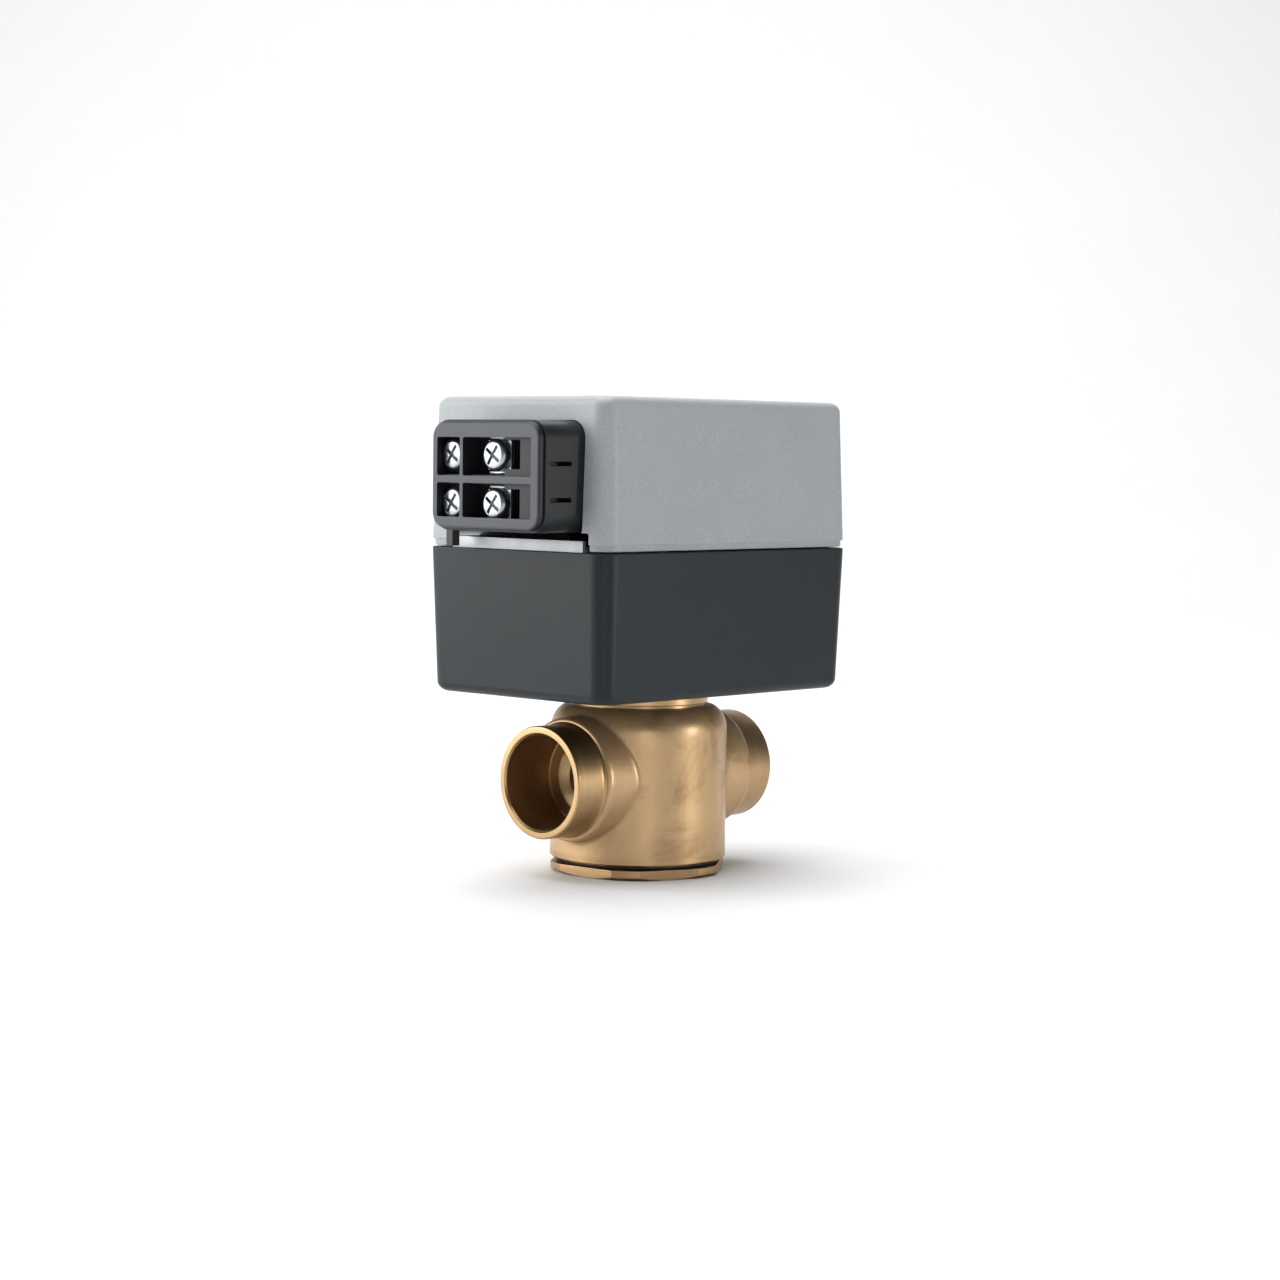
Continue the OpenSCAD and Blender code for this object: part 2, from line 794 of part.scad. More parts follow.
module switch_terminals() {
  color(copper) for (x = [-6, 0, 6])
    block_between([x - 1, switch_y[0] - 0.5, 79], [x + 1, switch_y[0], 84.8]);
}

module switch_screws() {
  seat = switch_zs[1] - switch_sink;
  color(steel) for (x = switch_hole_x) translate([x, switch_hole_y, seat]) difference() {
    union() {
      rod(1.09, plate_z - seat, e);
      rod(1.9, 0, 1.3);
    }
    translate([0, 0, 1.2]) cube([3, 0.5, 0.8], center = true);
  }
}

// ---------- terminal block ----------
// outline of the block in the plane across the pipe: x is -y, y is z
module block_outline(grow = 0, r = 4) {
  translate([(block_y0 + block_y1) / 2, (block_z0 + block_z1) / 2])
    rounded(block_w + 2 * grow, block_z1 - block_z0 + 2 * grow, r);
}

module along_x(x0, x1) {
  translate([x0, 0, 0]) rotate([90, 0, 90]) linear_extrude(x1 - x0) children();
}

module window_outline() {
  translate([block_y0 + 3, block_z0 + 3]) square([block_w - 5.2, block_z1 - block_z0 - 6.9]);
}

module terminal_block() {
  front = -block_front + bezel_t;
  color(dark) difference() {
    union() {
      along_x(front + 0.1, -39) block_outline();
      along_x(-39 - e, tail_x[0]) translate([back_y[0], block_z0 + 3]) square([back_y[1] - back_y[0], 21]);
      for (y = [back_y[0], back_y[1] - 2])
        block_between([-39.1, y, split_z + 0.02], [tail_x[0], y + 2, block_z0 + 4]);
    }
    // terminal pockets
    for (y = pocket_y, z = term_z)
      block_between([front - 1, y[0], z - 4.4], [front + 4.2, y[1], z + 4.4]);
    // wire entries beside the clamps near the corner
    for (z = term_z) block_between([front - 1, entry_y[0], z - 3], [front + 6, entry_y[1], z + 3.4]);
    for (y = term_y, z = term_z) translate([0, y, z]) rotate([0, -90, 0]) cylinder(r = 1.6, h = 60);
    // finger slots in both sides
    for (z = slit_z) {
      block_between([-52, block_y0 - 1, z - 0.5], [-45.4, block_y0 + slit_depth[0], z + 0.5]);
      block_between([-52, block_y1 - slit_depth[1], z - 0.5], [-45.4, block_y1 + 1, z + 0.5]);
    }
  }
}

module terminal_bezel() {
  color(dark) difference() {
    along_x(-block_front, -block_front + bezel_t) block_outline(-0.5, 3.6);
    difference() {
      along_x(-block_front - 1, -block_front + 3) window_outline();
      block_between([-block_front - 2, block_y0, rib_z[0]], [-block_front + 3, block_y1, rib_z[1]]);
      block_between([-block_front - 2, rib_y[0], block_z0], [-block_front + 3, rib_y[1], block_z1]);
    }
  }
}

module terminal_clamps() {
  color(zinc) for (y = term_y, z = term_z) difference() {
    block_between([clamp_x[0], y - 3.6, z - 4.1], [clamp_x[1], y + 3.6, z + 4.1]);
    translate([-52, y, z]) rotate([0, 90, 0]) cylinder(r = thread_r, h = 4);
  }
}

module terminal_screws() {
  color(steel) for (y = term_y, z = term_z)
    translate([clamp_x[0], y, z]) rotate([0, -90, 0]) rotate(45) screw(0, 8, 3.6, 2.3);
}

module terminal_tails() {
  color(copper) for (y = term_y, z = term_z) union() {
    block_between([tail_x[0], y - 2, z - 0.4], [tail_x[1], y + 2, z + 0.4]);
    block_between([tail_x[0], y - 2, z - 2.4], [tail_x[0] + 0.8, y + 2, z + 2.4]);
  }
}

// ---------- leads ----------
motor_routes = [
  [[-33, 7.5, 98], [-30, 7.5, 98.3], [-26, 7.2, 98.1], [-22, 6.4, 97.2], [-18, 5, 95.8],
   [-14, 3.4, 94.8], [-10, 2.2, 94], [-6.2, 2, 93.8]],
  [[-33, -5.4, 98], [-30, -5.4, 98.3], [-26, -5.2, 98.1], [-22, -4.7, 97.2], [-18, -4, 95.8],
   [-14, -3, 94.8], [-10, -2.2, 94], [-6.2, -2, 93.8]]
];
switch_routes = [
  [[-33, 7.5, 87.2], [-30, 7.3, 87.3], [-27, 5.5, 87], [-25, 1, 85.6], [-23.5, -5, 85],
   [-21.5, -11, 84.8], [-18.5, -16, 84.8], [-14.5, -19.8, 84.8], [-10, -22, 84.6],
   [-7.2, -23.6, 84.2], [-6, -24.8, 84], [-6, -25.93, 84]],
  [[-33, -5.4, 87.2], [-30, -5.6, 87.4], [-27, -7.5, 87.5], [-24, -11.5, 87.4],
   [-20.5, -16, 87], [-16, -19.6, 86.8], [-10.5, -21.4, 86.6], [-5, -22, 86.2],
   [-1.5, -23.2, 85.2], [0, -24.8, 84.1], [0, -25.93, 84.1]]
];

module motor_leads() {
  color("#3a3a8c") for (route = motor_routes) tube(route, 0.8, [0, 1, 0]);
}

module switch_leads() {
  color("#c8a020") for (route = switch_routes) tube(route, 0.7, [0, 0, 1]);
}

valve_body();
bottom_cap();
cap_o_ring();
lower_bearing();
stem();
stem_o_rings();
shoe_carrier();
shoe_seal();
carrier_pin();
gland_bush();
gland_clip();
base_housing();
cover();
cover_pillars();
cover_screws();
gear_plate();
plate_screws();
hub_bush();
drive_hub();
sector_gear();
lever_arm();
lever_tip();
hub_clip();
return_spring();
second_axle();
second_gear();
first_axle();
first_gear();
axle_clip();
motor_pinion();
rotor_shaft();
rotor();
rotor_bushes();
motor_base();
motor_can();
motor_coil();
motor_spacers();
motor_screws();
latch_plate();
release_button();
release_spring();
switch_body();
switch_plunger();
switch_terminals();
switch_screws();
terminal_block();
terminal_bezel();
terminal_clamps();
terminal_screws();
terminal_tails();
motor_leads();
switch_leads();
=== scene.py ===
import json
import math

import bmesh
import bpy
from mathutils import Matrix, Vector


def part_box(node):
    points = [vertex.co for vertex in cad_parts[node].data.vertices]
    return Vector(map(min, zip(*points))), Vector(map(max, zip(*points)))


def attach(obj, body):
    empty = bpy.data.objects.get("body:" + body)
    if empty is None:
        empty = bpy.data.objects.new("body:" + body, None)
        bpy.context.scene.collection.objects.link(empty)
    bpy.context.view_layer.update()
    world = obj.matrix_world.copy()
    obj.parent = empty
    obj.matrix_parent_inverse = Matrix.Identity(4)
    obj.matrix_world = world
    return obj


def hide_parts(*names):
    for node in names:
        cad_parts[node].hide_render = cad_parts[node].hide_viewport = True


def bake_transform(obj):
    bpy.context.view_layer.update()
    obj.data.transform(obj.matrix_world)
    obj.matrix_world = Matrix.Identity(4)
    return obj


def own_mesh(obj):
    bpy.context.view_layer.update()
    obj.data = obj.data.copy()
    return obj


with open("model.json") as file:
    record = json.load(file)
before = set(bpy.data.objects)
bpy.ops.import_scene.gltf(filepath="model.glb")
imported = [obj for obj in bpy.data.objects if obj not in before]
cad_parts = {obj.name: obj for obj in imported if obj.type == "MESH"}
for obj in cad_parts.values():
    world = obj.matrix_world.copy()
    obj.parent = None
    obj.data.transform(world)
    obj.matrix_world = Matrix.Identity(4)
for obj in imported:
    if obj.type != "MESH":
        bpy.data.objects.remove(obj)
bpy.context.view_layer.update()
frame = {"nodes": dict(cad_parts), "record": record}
nodes = frame["nodes"]
MM = 0.001
scene = bpy.context.scene

# ---------------------------------------------------------------- measures from the frame, in mm


def span(node):
    low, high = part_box(node)
    return [v / MM for v in low], [v / MM for v in high]


BASE_LO, BASE_HI = span("base_housing")
COVER_LO, COVER_HI = span("cover")
BODY_LO, BODY_HI = span("valve_body")
BLOCK_LO, BLOCK_HI = span("terminal_block")
BEZEL_LO, BEZEL_HI = span("terminal_bezel")
BUTTON_LO, BUTTON_HI = span("release_button")

BOX_L = BASE_HI[0] - BASE_LO[0]
BOX_W = BASE_HI[1] - BASE_LO[1]
SPLIT = BASE_HI[2]
COVER_TOP = COVER_HI[2]
PORT_END = BODY_HI[0]

# sizes in mm that no box of the frame gives
DRAFT = 1.15
CORNER = 4.6
WALL = 2.0
FLOOR = 2.2
EDGE = 2.2
INNER_EDGE = 1.2
REVEAL_DEPTH = 0.5
REVEAL_H = 1.5
THREAD_R = 1.5
SHANK_R = 1.48
AXLE_R = 1.52
PORT_Z = 23.0
PORT_R = 13.0
SOCKET_R = 11.15
SOCKET_END = PORT_END - 14.5
BARREL_R = 20.8
NECK_R = 12.0
STEM_BORE_R = 3.06
PLUG_BORE_R = 18.2

# ---------------------------------------------------------------- camera

CAMERA_AZ = -46.48
CAMERA_DISTANCE = 648.8
CAMERA_HEIGHT = 98.8
CAMERA_PITCH = 0.0684
CAMERA_ROLL = 0.0125
CAMERA_LENS = 77.4
CAMERA_SENSOR = 36


def make_camera():
    """Looks at the terminal end and the front from CAMERA_AZ round the stem; pitch and roll in radians."""
    a = math.radians(CAMERA_AZ)
    back = Vector((math.sin(a), -math.cos(a), 0))
    right = Vector((math.cos(a), math.sin(a), 0))
    up = Vector((0, 0, 1))
    cp, sp = math.cos(CAMERA_PITCH), math.sin(CAMERA_PITCH)
    cr, sr = math.cos(CAMERA_ROLL), math.sin(CAMERA_ROLL)
    tilted = up * cp - back * sp
    right_c = right * cr + tilted * sr
    up_c = tilted * cr - right * sr
    back_c = right_c.cross(up_c)
    data = bpy.data.cameras.new("camera")
    data.lens = CAMERA_LENS
    data.sensor_width = CAMERA_SENSOR
    data.clip_start = 0.01
    camera = bpy.data.objects.new("camera", data)
    scene.collection.objects.link(camera)
    turn = Matrix((right_c, up_c, back_c)).transposed().to_4x4()
    spot = back * CAMERA_DISTANCE * MM + up * CAMERA_HEIGHT * MM
    camera.matrix_world = Matrix.Translation(spot) @ turn
    scene.camera = camera


make_camera()

# ---------------------------------------------------------------- mesh helpers, all in mm


def link(name, mesh):
    obj = bpy.data.objects.new(name, mesh)
    scene.collection.objects.link(obj)
    return obj


def shade(obj, angle=32, flat_faces=True):
    """Smooth shading with sharp edges kept; large faces keep their own normals beside bevels."""
    obj.data.shade_smooth()
    obj.data.set_sharp_from_angle(angle=math.radians(angle))
    if flat_faces:
        weight = obj.modifiers.new("face_weight", "WEIGHTED_NORMAL")
        weight.keep_sharp = True
        weight.weight = 80
    return obj


def solid(name, points, faces):
    mesh = bpy.data.meshes.new(name)
    mesh.from_pydata([Vector(p) * MM for p in points], [], faces)
    bm = bmesh.new()
    bm.from_mesh(mesh)
    bmesh.ops.remove_doubles(bm, verts=bm.verts, dist=1e-7)
    bmesh.ops.recalc_face_normals(bm, faces=bm.faces)
    bm.to_mesh(mesh)
    bm.free()
    return link(name, mesh)


def settle(obj):
    """The object's modifiers applied to its mesh."""
    graph = bpy.context.evaluated_depsgraph_get()
    mesh = bpy.data.meshes.new_from_object(obj.evaluated_get(graph))
    obj.modifiers.clear()
    obj.data = mesh
    return obj


def combine(obj, other, operation="DIFFERENCE"):
    """The other object cut from this one, or joined to it, and then removed."""
    modifier = obj.modifiers.new("cut", "BOOLEAN")
    modifier.object = other
    modifier.operation = operation
    modifier.solver = "EXACT"
    settle(obj)
    bpy.data.objects.remove(other)
    return obj


def bevel(obj, width, segments=2, angle=35):
    modifier = obj.modifiers.new("bevel", "BEVEL")
    modifier.width = width * MM
    modifier.segments = segments
    modifier.limit_method = "ANGLE"
    modifier.angle_limit = math.radians(angle)
    modifier.use_clamp_overlap = True
    modifier.harden_normals = False
    return obj


def join(name, parts):
    """Several objects as one mesh, without a boolean."""
    bm = bmesh.new()
    for part in parts:
        part.data.transform(part.matrix_world)
        bm.from_mesh(part.data)
        bpy.data.objects.remove(part)
    mesh = bpy.data.meshes.new(name)
    bm.to_mesh(mesh)
    bm.free()
    return link(name, mesh)


def lathe(name, profile, axis="Z", at=(0, 0, 0), steps=96, closed=False):
    """A profile of (radius, height) turned about an axis; closed joins its last point to its first."""
    points = []
    faces = []
    n = len(profile)
    for k in range(steps):
        a = 2 * math.pi * k / steps
        for r, h in profile:
            x, y = r * math.cos(a), r * math.sin(a)
            p = {"Z": (x, y, h), "X": (h, x, y), "-X": (-h, x, y), "Y": (x, h, y)}[axis]
            points.append([p[i] + at[i] for i in range(3)])
    for k in range(steps):
        m = (k + 1) % steps
        for i in range(n if closed else n - 1):
            j = (i + 1) % n
            faces.append([k * n + i, k * n + j, m * n + j, m * n + i])
    return solid(name, points, faces)


def corner_loop(length, width, r, point, n=8):
    """A rounded rectangle round the origin; point turns (u, v) into a point of the result."""
    loop = []
    for su, sv, start in ((1, 1, 0), (-1, 1, 90), (-1, -1, 180), (1, -1, 270)):
        for i in range(n + 1):
            a = math.radians(start + 90 * i / n)
            u = su * (length / 2 - r) + r * math.cos(a)
            v = sv * (width / 2 - r) + r * math.sin(a)
            loop.append(point(u, v))
    return loop


def loft(name, loops, cap_first=True, cap_last=True):
    """A skin over equal loops of points, one after the other."""
    points = [p for loop in loops for p in loop]
    n = len(loops[0])
    faces = []
    for i in range(len(loops) - 1):
        for k in range(n):
            m = (k + 1) % n
            faces.append([i * n + k, i * n + m, (i + 1) * n + m, (i + 1) * n + k])
    if cap_first:
        faces.append(list(range(n)))
    if cap_last:
        faces.append([(len(loops) - 1) * n + k for k in range(n)])
    return solid(name, points, faces)


def box(name, lo, hi):
    (x0, y0, z0), (x1, y1, z1) = lo, hi
    points = [(x, y, z) for x in (x0, x1) for y in (y0, y1) for z in (z0, z1)]
    faces = [(0, 1, 3, 2), (4, 6, 7, 5), (0, 4, 5, 1), (2, 3, 7, 6), (0, 2, 6, 4), (1, 5, 7, 3)]
    return solid(name, points, faces)


def arc(cx, cz, r, a0, a1, n):
    """Points of a circle's arc from a0 to a1 degrees, in n steps."""
    steps = [math.radians(a0 + (a1 - a0) * i / n) for i in range(n + 1)]
    return [(cx + r * math.cos(a), cz + r * math.sin(a)) for a in steps]


def tube(name, path, radius, sides=16):
    """A round bar along a path of points."""
    curve = bpy.data.curves.new(name, "CURVE")
    curve.dimensions = "3D"
    curve.bevel_depth = radius * MM
    curve.bevel_resolution = sides // 4
    curve.use_fill_caps = True
    curve.resolution_u = 6
    spline = curve.splines.new("BEZIER")
    spline.bezier_points.add(len(path) - 1)
    for point, spot in zip(spline.bezier_points, path):
        point.co = Vector(spot) * MM
        point.handle_left_type = point.handle_right_type = "AUTO"
    obj = link(name, curve)
    graph = bpy.context.evaluated_depsgraph_get()
    mesh = bpy.data.meshes.new_from_object(obj.evaluated_get(graph))
    bpy.data.objects.remove(obj)
    return shade(link(name, mesh), 60, False)


# ---------------------------------------------------------------- materials


class Paint:
    """A node material built step by step."""

    def __init__(self, name):
        self.material = bpy.data.materials.new(name)
        self.material.use_nodes = True
        self.tree = self.material.node_tree
        self.shader = self.tree.nodes["Principled BSDF"]
        self.coords = self.tree.nodes.new("ShaderNodeTexCoord").outputs["Object"]

    def node(self, kind, **values):
        made = self.tree.nodes.new(kind)
        for key, value in values.items():
            if key in made.inputs:
                made.inputs[key].default_value = value
            else:
                setattr(made, key, value)
        return made

    def join(self, a, b):
        self.tree.links.new(a, b)

    def noise(self, scale, detail=4.0, rough=0.6, stretch=(1, 1, 1), distortion=0.0):
        mapping = self.node("ShaderNodeMapping")
        mapping.inputs["Scale"].default_value = stretch
        self.join(self.coords, mapping.inputs["Vector"])
        made = self.node("ShaderNodeTexNoise", Scale=scale, Detail=detail, Roughness=rough)
        made.inputs["Distortion"].default_value = distortion
        self.join(mapping.outputs["Vector"], made.inputs["Vector"])
        return made.outputs["Fac"]

    def ramp(self, source, stops):
        made = self.node("ShaderNodeValToRGB")
        ramp = made.color_ramp
        while len(ramp.elements) < len(stops):
            ramp.elements.new(0.5)
        for element, (position, color) in zip(ramp.elements, stops):
            element.position = position
            element.color = (*color, 1)
        self.join(source, made.inputs["Fac"])
        return made.outputs["Color"]

    def spread(self, source, low, high, lo_in=0.0, hi_in=1.0):
        made = self.node("ShaderNodeMapRange")
        for key, value in (("From Min", lo_in), ("From Max", hi_in), ("To Min", low), ("To Max", high)):
            made.inputs[key].default_value = value
        self.join(source, made.inputs["Value"])
        return made.outputs["Result"]

    def mix(self, factor, a, b, blend="MIX"):
        made = self.node("ShaderNodeMix", data_type="RGBA", blend_type=blend)
        for socket, value in ((made.inputs["Factor"], factor), (made.inputs[6], a), (made.inputs[7], b)):
            if isinstance(value, (int, float)):
                socket.default_value = value
            elif isinstance(value, (tuple, list)):
                socket.default_value = (*value, 1)
            else:
                self.join(value, socket)
        return made.outputs[2]

    def edges(self, lo_in, hi_in):
        """1 on outward edges, 0 on flats."""
        return self.spread(self.node("ShaderNodeNewGeometry").outputs["Pointiness"], 0, 1, lo_in, hi_in)

    def front(self):
        """1 on faces that look along -X, 0 on the others: the mask of a painted highlight on the end faces.
        """
        split = self.node("ShaderNodeSeparateXYZ")
        self.join(self.tree.nodes["Texture Coordinate"].outputs["Normal"], split.inputs["Vector"])
        return self.spread(split.outputs["X"], 1, 0, -0.9, -0.5)

    def bump(self, source, distance, strength=1.0, below=None):
        made = self.node("ShaderNodeBump", Strength=strength, Distance=distance * MM)
        self.join(source, made.inputs["Height"])
        if below is not None:
            self.join(below, made.inputs["Normal"])
        return made.outputs["Normal"]

    def finish(self, color=None, rough=None, normal=None, **constants):
        for key, value in constants.items():
            self.shader.inputs[key.replace("_", " ")].default_value = value
        for key, socket in (("Base Color", color), ("Roughness", rough), ("Normal", normal)):
            if socket is not None:
                self.join(socket, self.shader.inputs[key])
        return self.material


def shades(color, amount):
    """A darker, the given and a lighter shade."""
    return [tuple(c * (1 - amount) for c in color), color, tuple(min(1, c * (1 + amount)) for c in color)]


def plastic(name, color, rough=(0.38, 0.5), grain=0.012, mottle=0.07, specular=0.5, front=None):
    """Moulded plastic: spark-eroded grain and faint flow mottling; front is a paler colour painted on faces
    that look along -X, a painted highlight of the light on the end face.
    """
    p = Paint(name)
    dark, mid, light = shades(color, mottle)
    cloud = p.ramp(p.noise(55, 3), [(0.3, dark), (0.5, mid), (0.72, light)])
    fleck = p.ramp(p.noise(2600, 2), [(0.42, (0.93, 0.93, 0.93)), (0.6, (1.05, 1.05, 1.05))])
    normal = p.bump(p.noise(900, 2), grain, 0.5, p.bump(p.noise(5200, 3, 0.7), grain, 0.8))
    # the front colour is painted on faces looking along -X: a painted highlight of the light from the left
    if front:
        cloud = p.mix(p.front(), cloud, front)
    return p.finish(p.mix(1.0, cloud, fleck, "MULTIPLY"), p.spread(p.noise(220, 4), *rough), normal,
                    Specular_IOR_Level=specular)


def metal(name, color, rough=(0.2, 0.38), stretch=(1, 1, 1), scale=900, depth=0.004, mottle=0.08):
    """Machined or plated metal: fine tool lines along the stretch, and stains."""
    p = Paint(name)
    dark, mid, light = shades(color, mottle)
    cloud = p.ramp(p.noise(130, 5, 0.65), [(0.3, dark), (0.55, mid), (0.75, light)])
    lines = p.noise(scale, 3, 0.6, stretch)
    streak = p.ramp(lines, [(0.35, (0.9, 0.9, 0.9)), (0.65, (1.04, 1.04, 1.04))])
    base = p.mix(1.0, cloud, streak, "MULTIPLY")
    return p.finish(base, p.spread(lines, *rough), p.bump(lines, depth, 0.7), Metallic=1.0)


def forged(name, color):
    """Hot-pressed brass after tumbling: soft dimples, darker hollows, fine pits."""
    p = Paint(name)
    dark = tuple(c * k for c, k in zip(color, (0.66, 0.58, 0.5)))
    light = tuple(min(1, c * 1.12) for c in color)
    stain = p.ramp(p.noise(95, 6, 0.62, distortion=0.6), [(0.28, dark), (0.47, color), (0.75, light)])
    hollow = p.spread(p.edges(0.5, 0.44), 0, 0.7)
    edge = p.spread(p.edges(0.51, 0.56), 0, 0.6)
    aged = p.mix(hollow, stain, tuple(c * 0.45 for c in color))
    base = p.mix(edge, aged, light)
    pits = p.noise(1700, 5, 0.7)
    dimples = p.noise(210, 3, 0.5)
    normal = p.bump(pits, 0.02, 0.5, p.bump(dimples, 0.12, 0.55))
    return p.finish(base, p.spread(p.noise(300, 4), 0.3, 0.46), normal, Metallic=0.62)


def rubber(name, color):
    """Moulded rubber: matt, cloudy and finely grained."""
    p = Paint(name)
    dark = tuple(c * 0.7 for c in color)
    light = tuple(c * 1.4 for c in color)
    base = p.ramp(p.noise(400, 4), [(0.3, dark), (0.7, light)])
    return p.finish(base, p.spread(p.noise(900, 3), 0.55, 0.75), p.bump(p.noise(2500, 3), 0.01, 0.7))


def winding(name, color):
    """Enamelled copper wire wound in close turns round Z, with painted shade in the grooves between the
    turns.
    """
    p = Paint(name)
    wave = p.node("ShaderNodeTexWave", wave_type="BANDS", bands_direction="Z", Scale=800.0)
    p.join(p.coords, wave.inputs["Vector"])
    turns = wave.outputs["Fac"]
    # the dark stop paints shade into the grooves between the turns
    base = p.ramp(turns, [(0.1, tuple(c * 0.35 for c in color)), (0.6, color)])
    return p.finish(base, p.spread(p.noise(500, 3), 0.25, 0.4), p.bump(turns, 0.1, 0.9), Metallic=0.8)


BRASS = (0.50, 0.33, 0.17)
# the bezel's end face painted paler than its sides: a painted highlight of the light from the left
BEZEL_FRONT_HIGHLIGHT = (0.056, 0.060, 0.066)
M = {
    "brass_body": forged("forged_brass", BRASS),
    "brass_bright": metal("turned_brass", (0.66, 0.45, 0.25), (0.16, 0.32), (40, 1, 1)),
    "turned_z": metal("turned_brass_z", (0.48, 0.315, 0.165), (0.26, 0.4), (1, 1, 40), 60, 0.004),
    "turned_x": metal("turned_brass_x", (0.47, 0.31, 0.16), (0.28, 0.42), (40, 1, 1), 60, 0.004),
    "socket": metal("socket_bore", (0.36, 0.23, 0.12), (0.34, 0.5), (40, 1, 1), 60, 0.006),
    "cover_grey": plastic("cover_plastic", (0.315, 0.333, 0.348), (0.42, 0.52), 0.012, 0.03),
    "base_slate": plastic("base_plastic", (0.0095, 0.0135, 0.016), (0.36, 0.46), 0.014, 0.08, 0.25),
    "block_dark": plastic("block_plastic", (0.012, 0.014, 0.016), (0.34, 0.46), 0.008, 0.08, 0.26),
    # dark sides, with the painted highlight on the end face
    "bezel_dark": plastic("bezel_plastic_painted_highlight", (0.010, 0.012, 0.014), (0.36, 0.46), 0.012, 0.08, 0.3,
                          BEZEL_FRONT_HIGHLIGHT),
    "lever_black": plastic("lever_plastic", (0.012, 0.012, 0.013), (0.3, 0.4)),
    "rubber": rubber("nitrile", (0.014, 0.014, 0.014)),
    "zinc_steel": metal("zinc_plate", (0.44, 0.46, 0.48), (0.22, 0.44), (1, 14, 1), 300, 0.006, 0.18),
    "galvanised": metal("galvanised_plate", (0.36, 0.37, 0.385), (0.46, 0.6), (1, 6, 1), 300, 0.006, 0.12),
    "steel": metal("ground_steel", (0.52, 0.53, 0.54), (0.16, 0.32), (1, 1, 30), 80),
    "nylon": plastic("natural_nylon", (0.62, 0.58, 0.47), (0.35, 0.5), 0.01, 0.04),
    "copper": metal("tinned_copper", (0.72, 0.40, 0.24), (0.2, 0.4), (1, 9, 1), 400),
    "coil": winding("coil_wire", (0.55, 0.2, 0.08)),
    "red_plastic": plastic("red_plastic", (0.32, 0.014, 0.010), (0.3, 0.42)),
    "switch_black": plastic("switch_plastic", (0.016, 0.016, 0.018), (0.3, 0.42)),
    "lead_blue": plastic("blue_pvc", (0.02, 0.03, 0.20), (0.28, 0.38)),
    "lead_yellow": plastic("yellow_pvc", (0.50, 0.30, 0.015), (0.28, 0.38)),
    "rotor_black": plastic("ferrite", (0.03, 0.03, 0.032), (0.4, 0.6), 0.03, 0.2),
}


def place(obj, body, slot, replaced=None, material=None):
    """The finished piece rides on its body, has its material and stands for its CAD nodes."""
    obj.data.materials.clear()
    obj.data.materials.append(M[material or slot])
    if replaced:
        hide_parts(replaced)
    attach(obj, body)
    return obj


# ---------------------------------------------------------------- CAD nodes that stay, with finishes


# the slot of each node, edge radii in mm, and the two nodes with another material than their slot's
NODE_SLOT = {s["node"]: s["material_slot"] for s in frame["record"]["subparts"]}
SOFT_EDGE = {
    "gear_plate": 0.15, "lever_arm": 0.12, "latch_plate": 0.15, "terminal_tails": 0.1,
    "cover_pillars": 0.15, "motor_base": 0.12, "motor_can": 0.3, "switch_body": 0.25,
    "switch_plunger": 0.15, "shoe_carrier": 0.3, "shoe_seal": 0.4, "drive_hub": 0.25,
    "rotor": 0.5, "hub_bush": 0.1,
}
SPECIAL = {"motor_coil": "coil", "gear_plate": "galvanised"}


def finish_nodes():
    for name, obj in nodes.items():
        obj.data.materials.clear()
        obj.data.materials.append(M[SPECIAL.get(name, NODE_SLOT[name])])
        weld = obj.modifiers.new("weld", "WELD")
        weld.merge_threshold = 1e-6
        if name in SOFT_EDGE:
            bevel(obj, SOFT_EDGE[name], 3, 30)
        obj.data.shade_smooth()
        obj.data.set_sharp_from_angle(angle=math.radians(30))


finish_nodes()

# ---------------------------------------------------------------- housing


# inset and rise of each step of a rounded rim, and of the step above the shadow line
RIM = ((0.35, 0), (0.1, 0.08), (0, 0.35))
STEP = ((0.2, 0), (0.04, 0.06), (0, 0.2))


def wall_loop(inset, z, r=CORNER):
    """The housing's outline at height z, inset from its size at the split line."""
    r = max(0.8, r - inset * 0.5)
    return corner_loop(BOX_L - 2 * inset, BOX_W - 2 * inset, r, lambda u, v: (u, v, z))


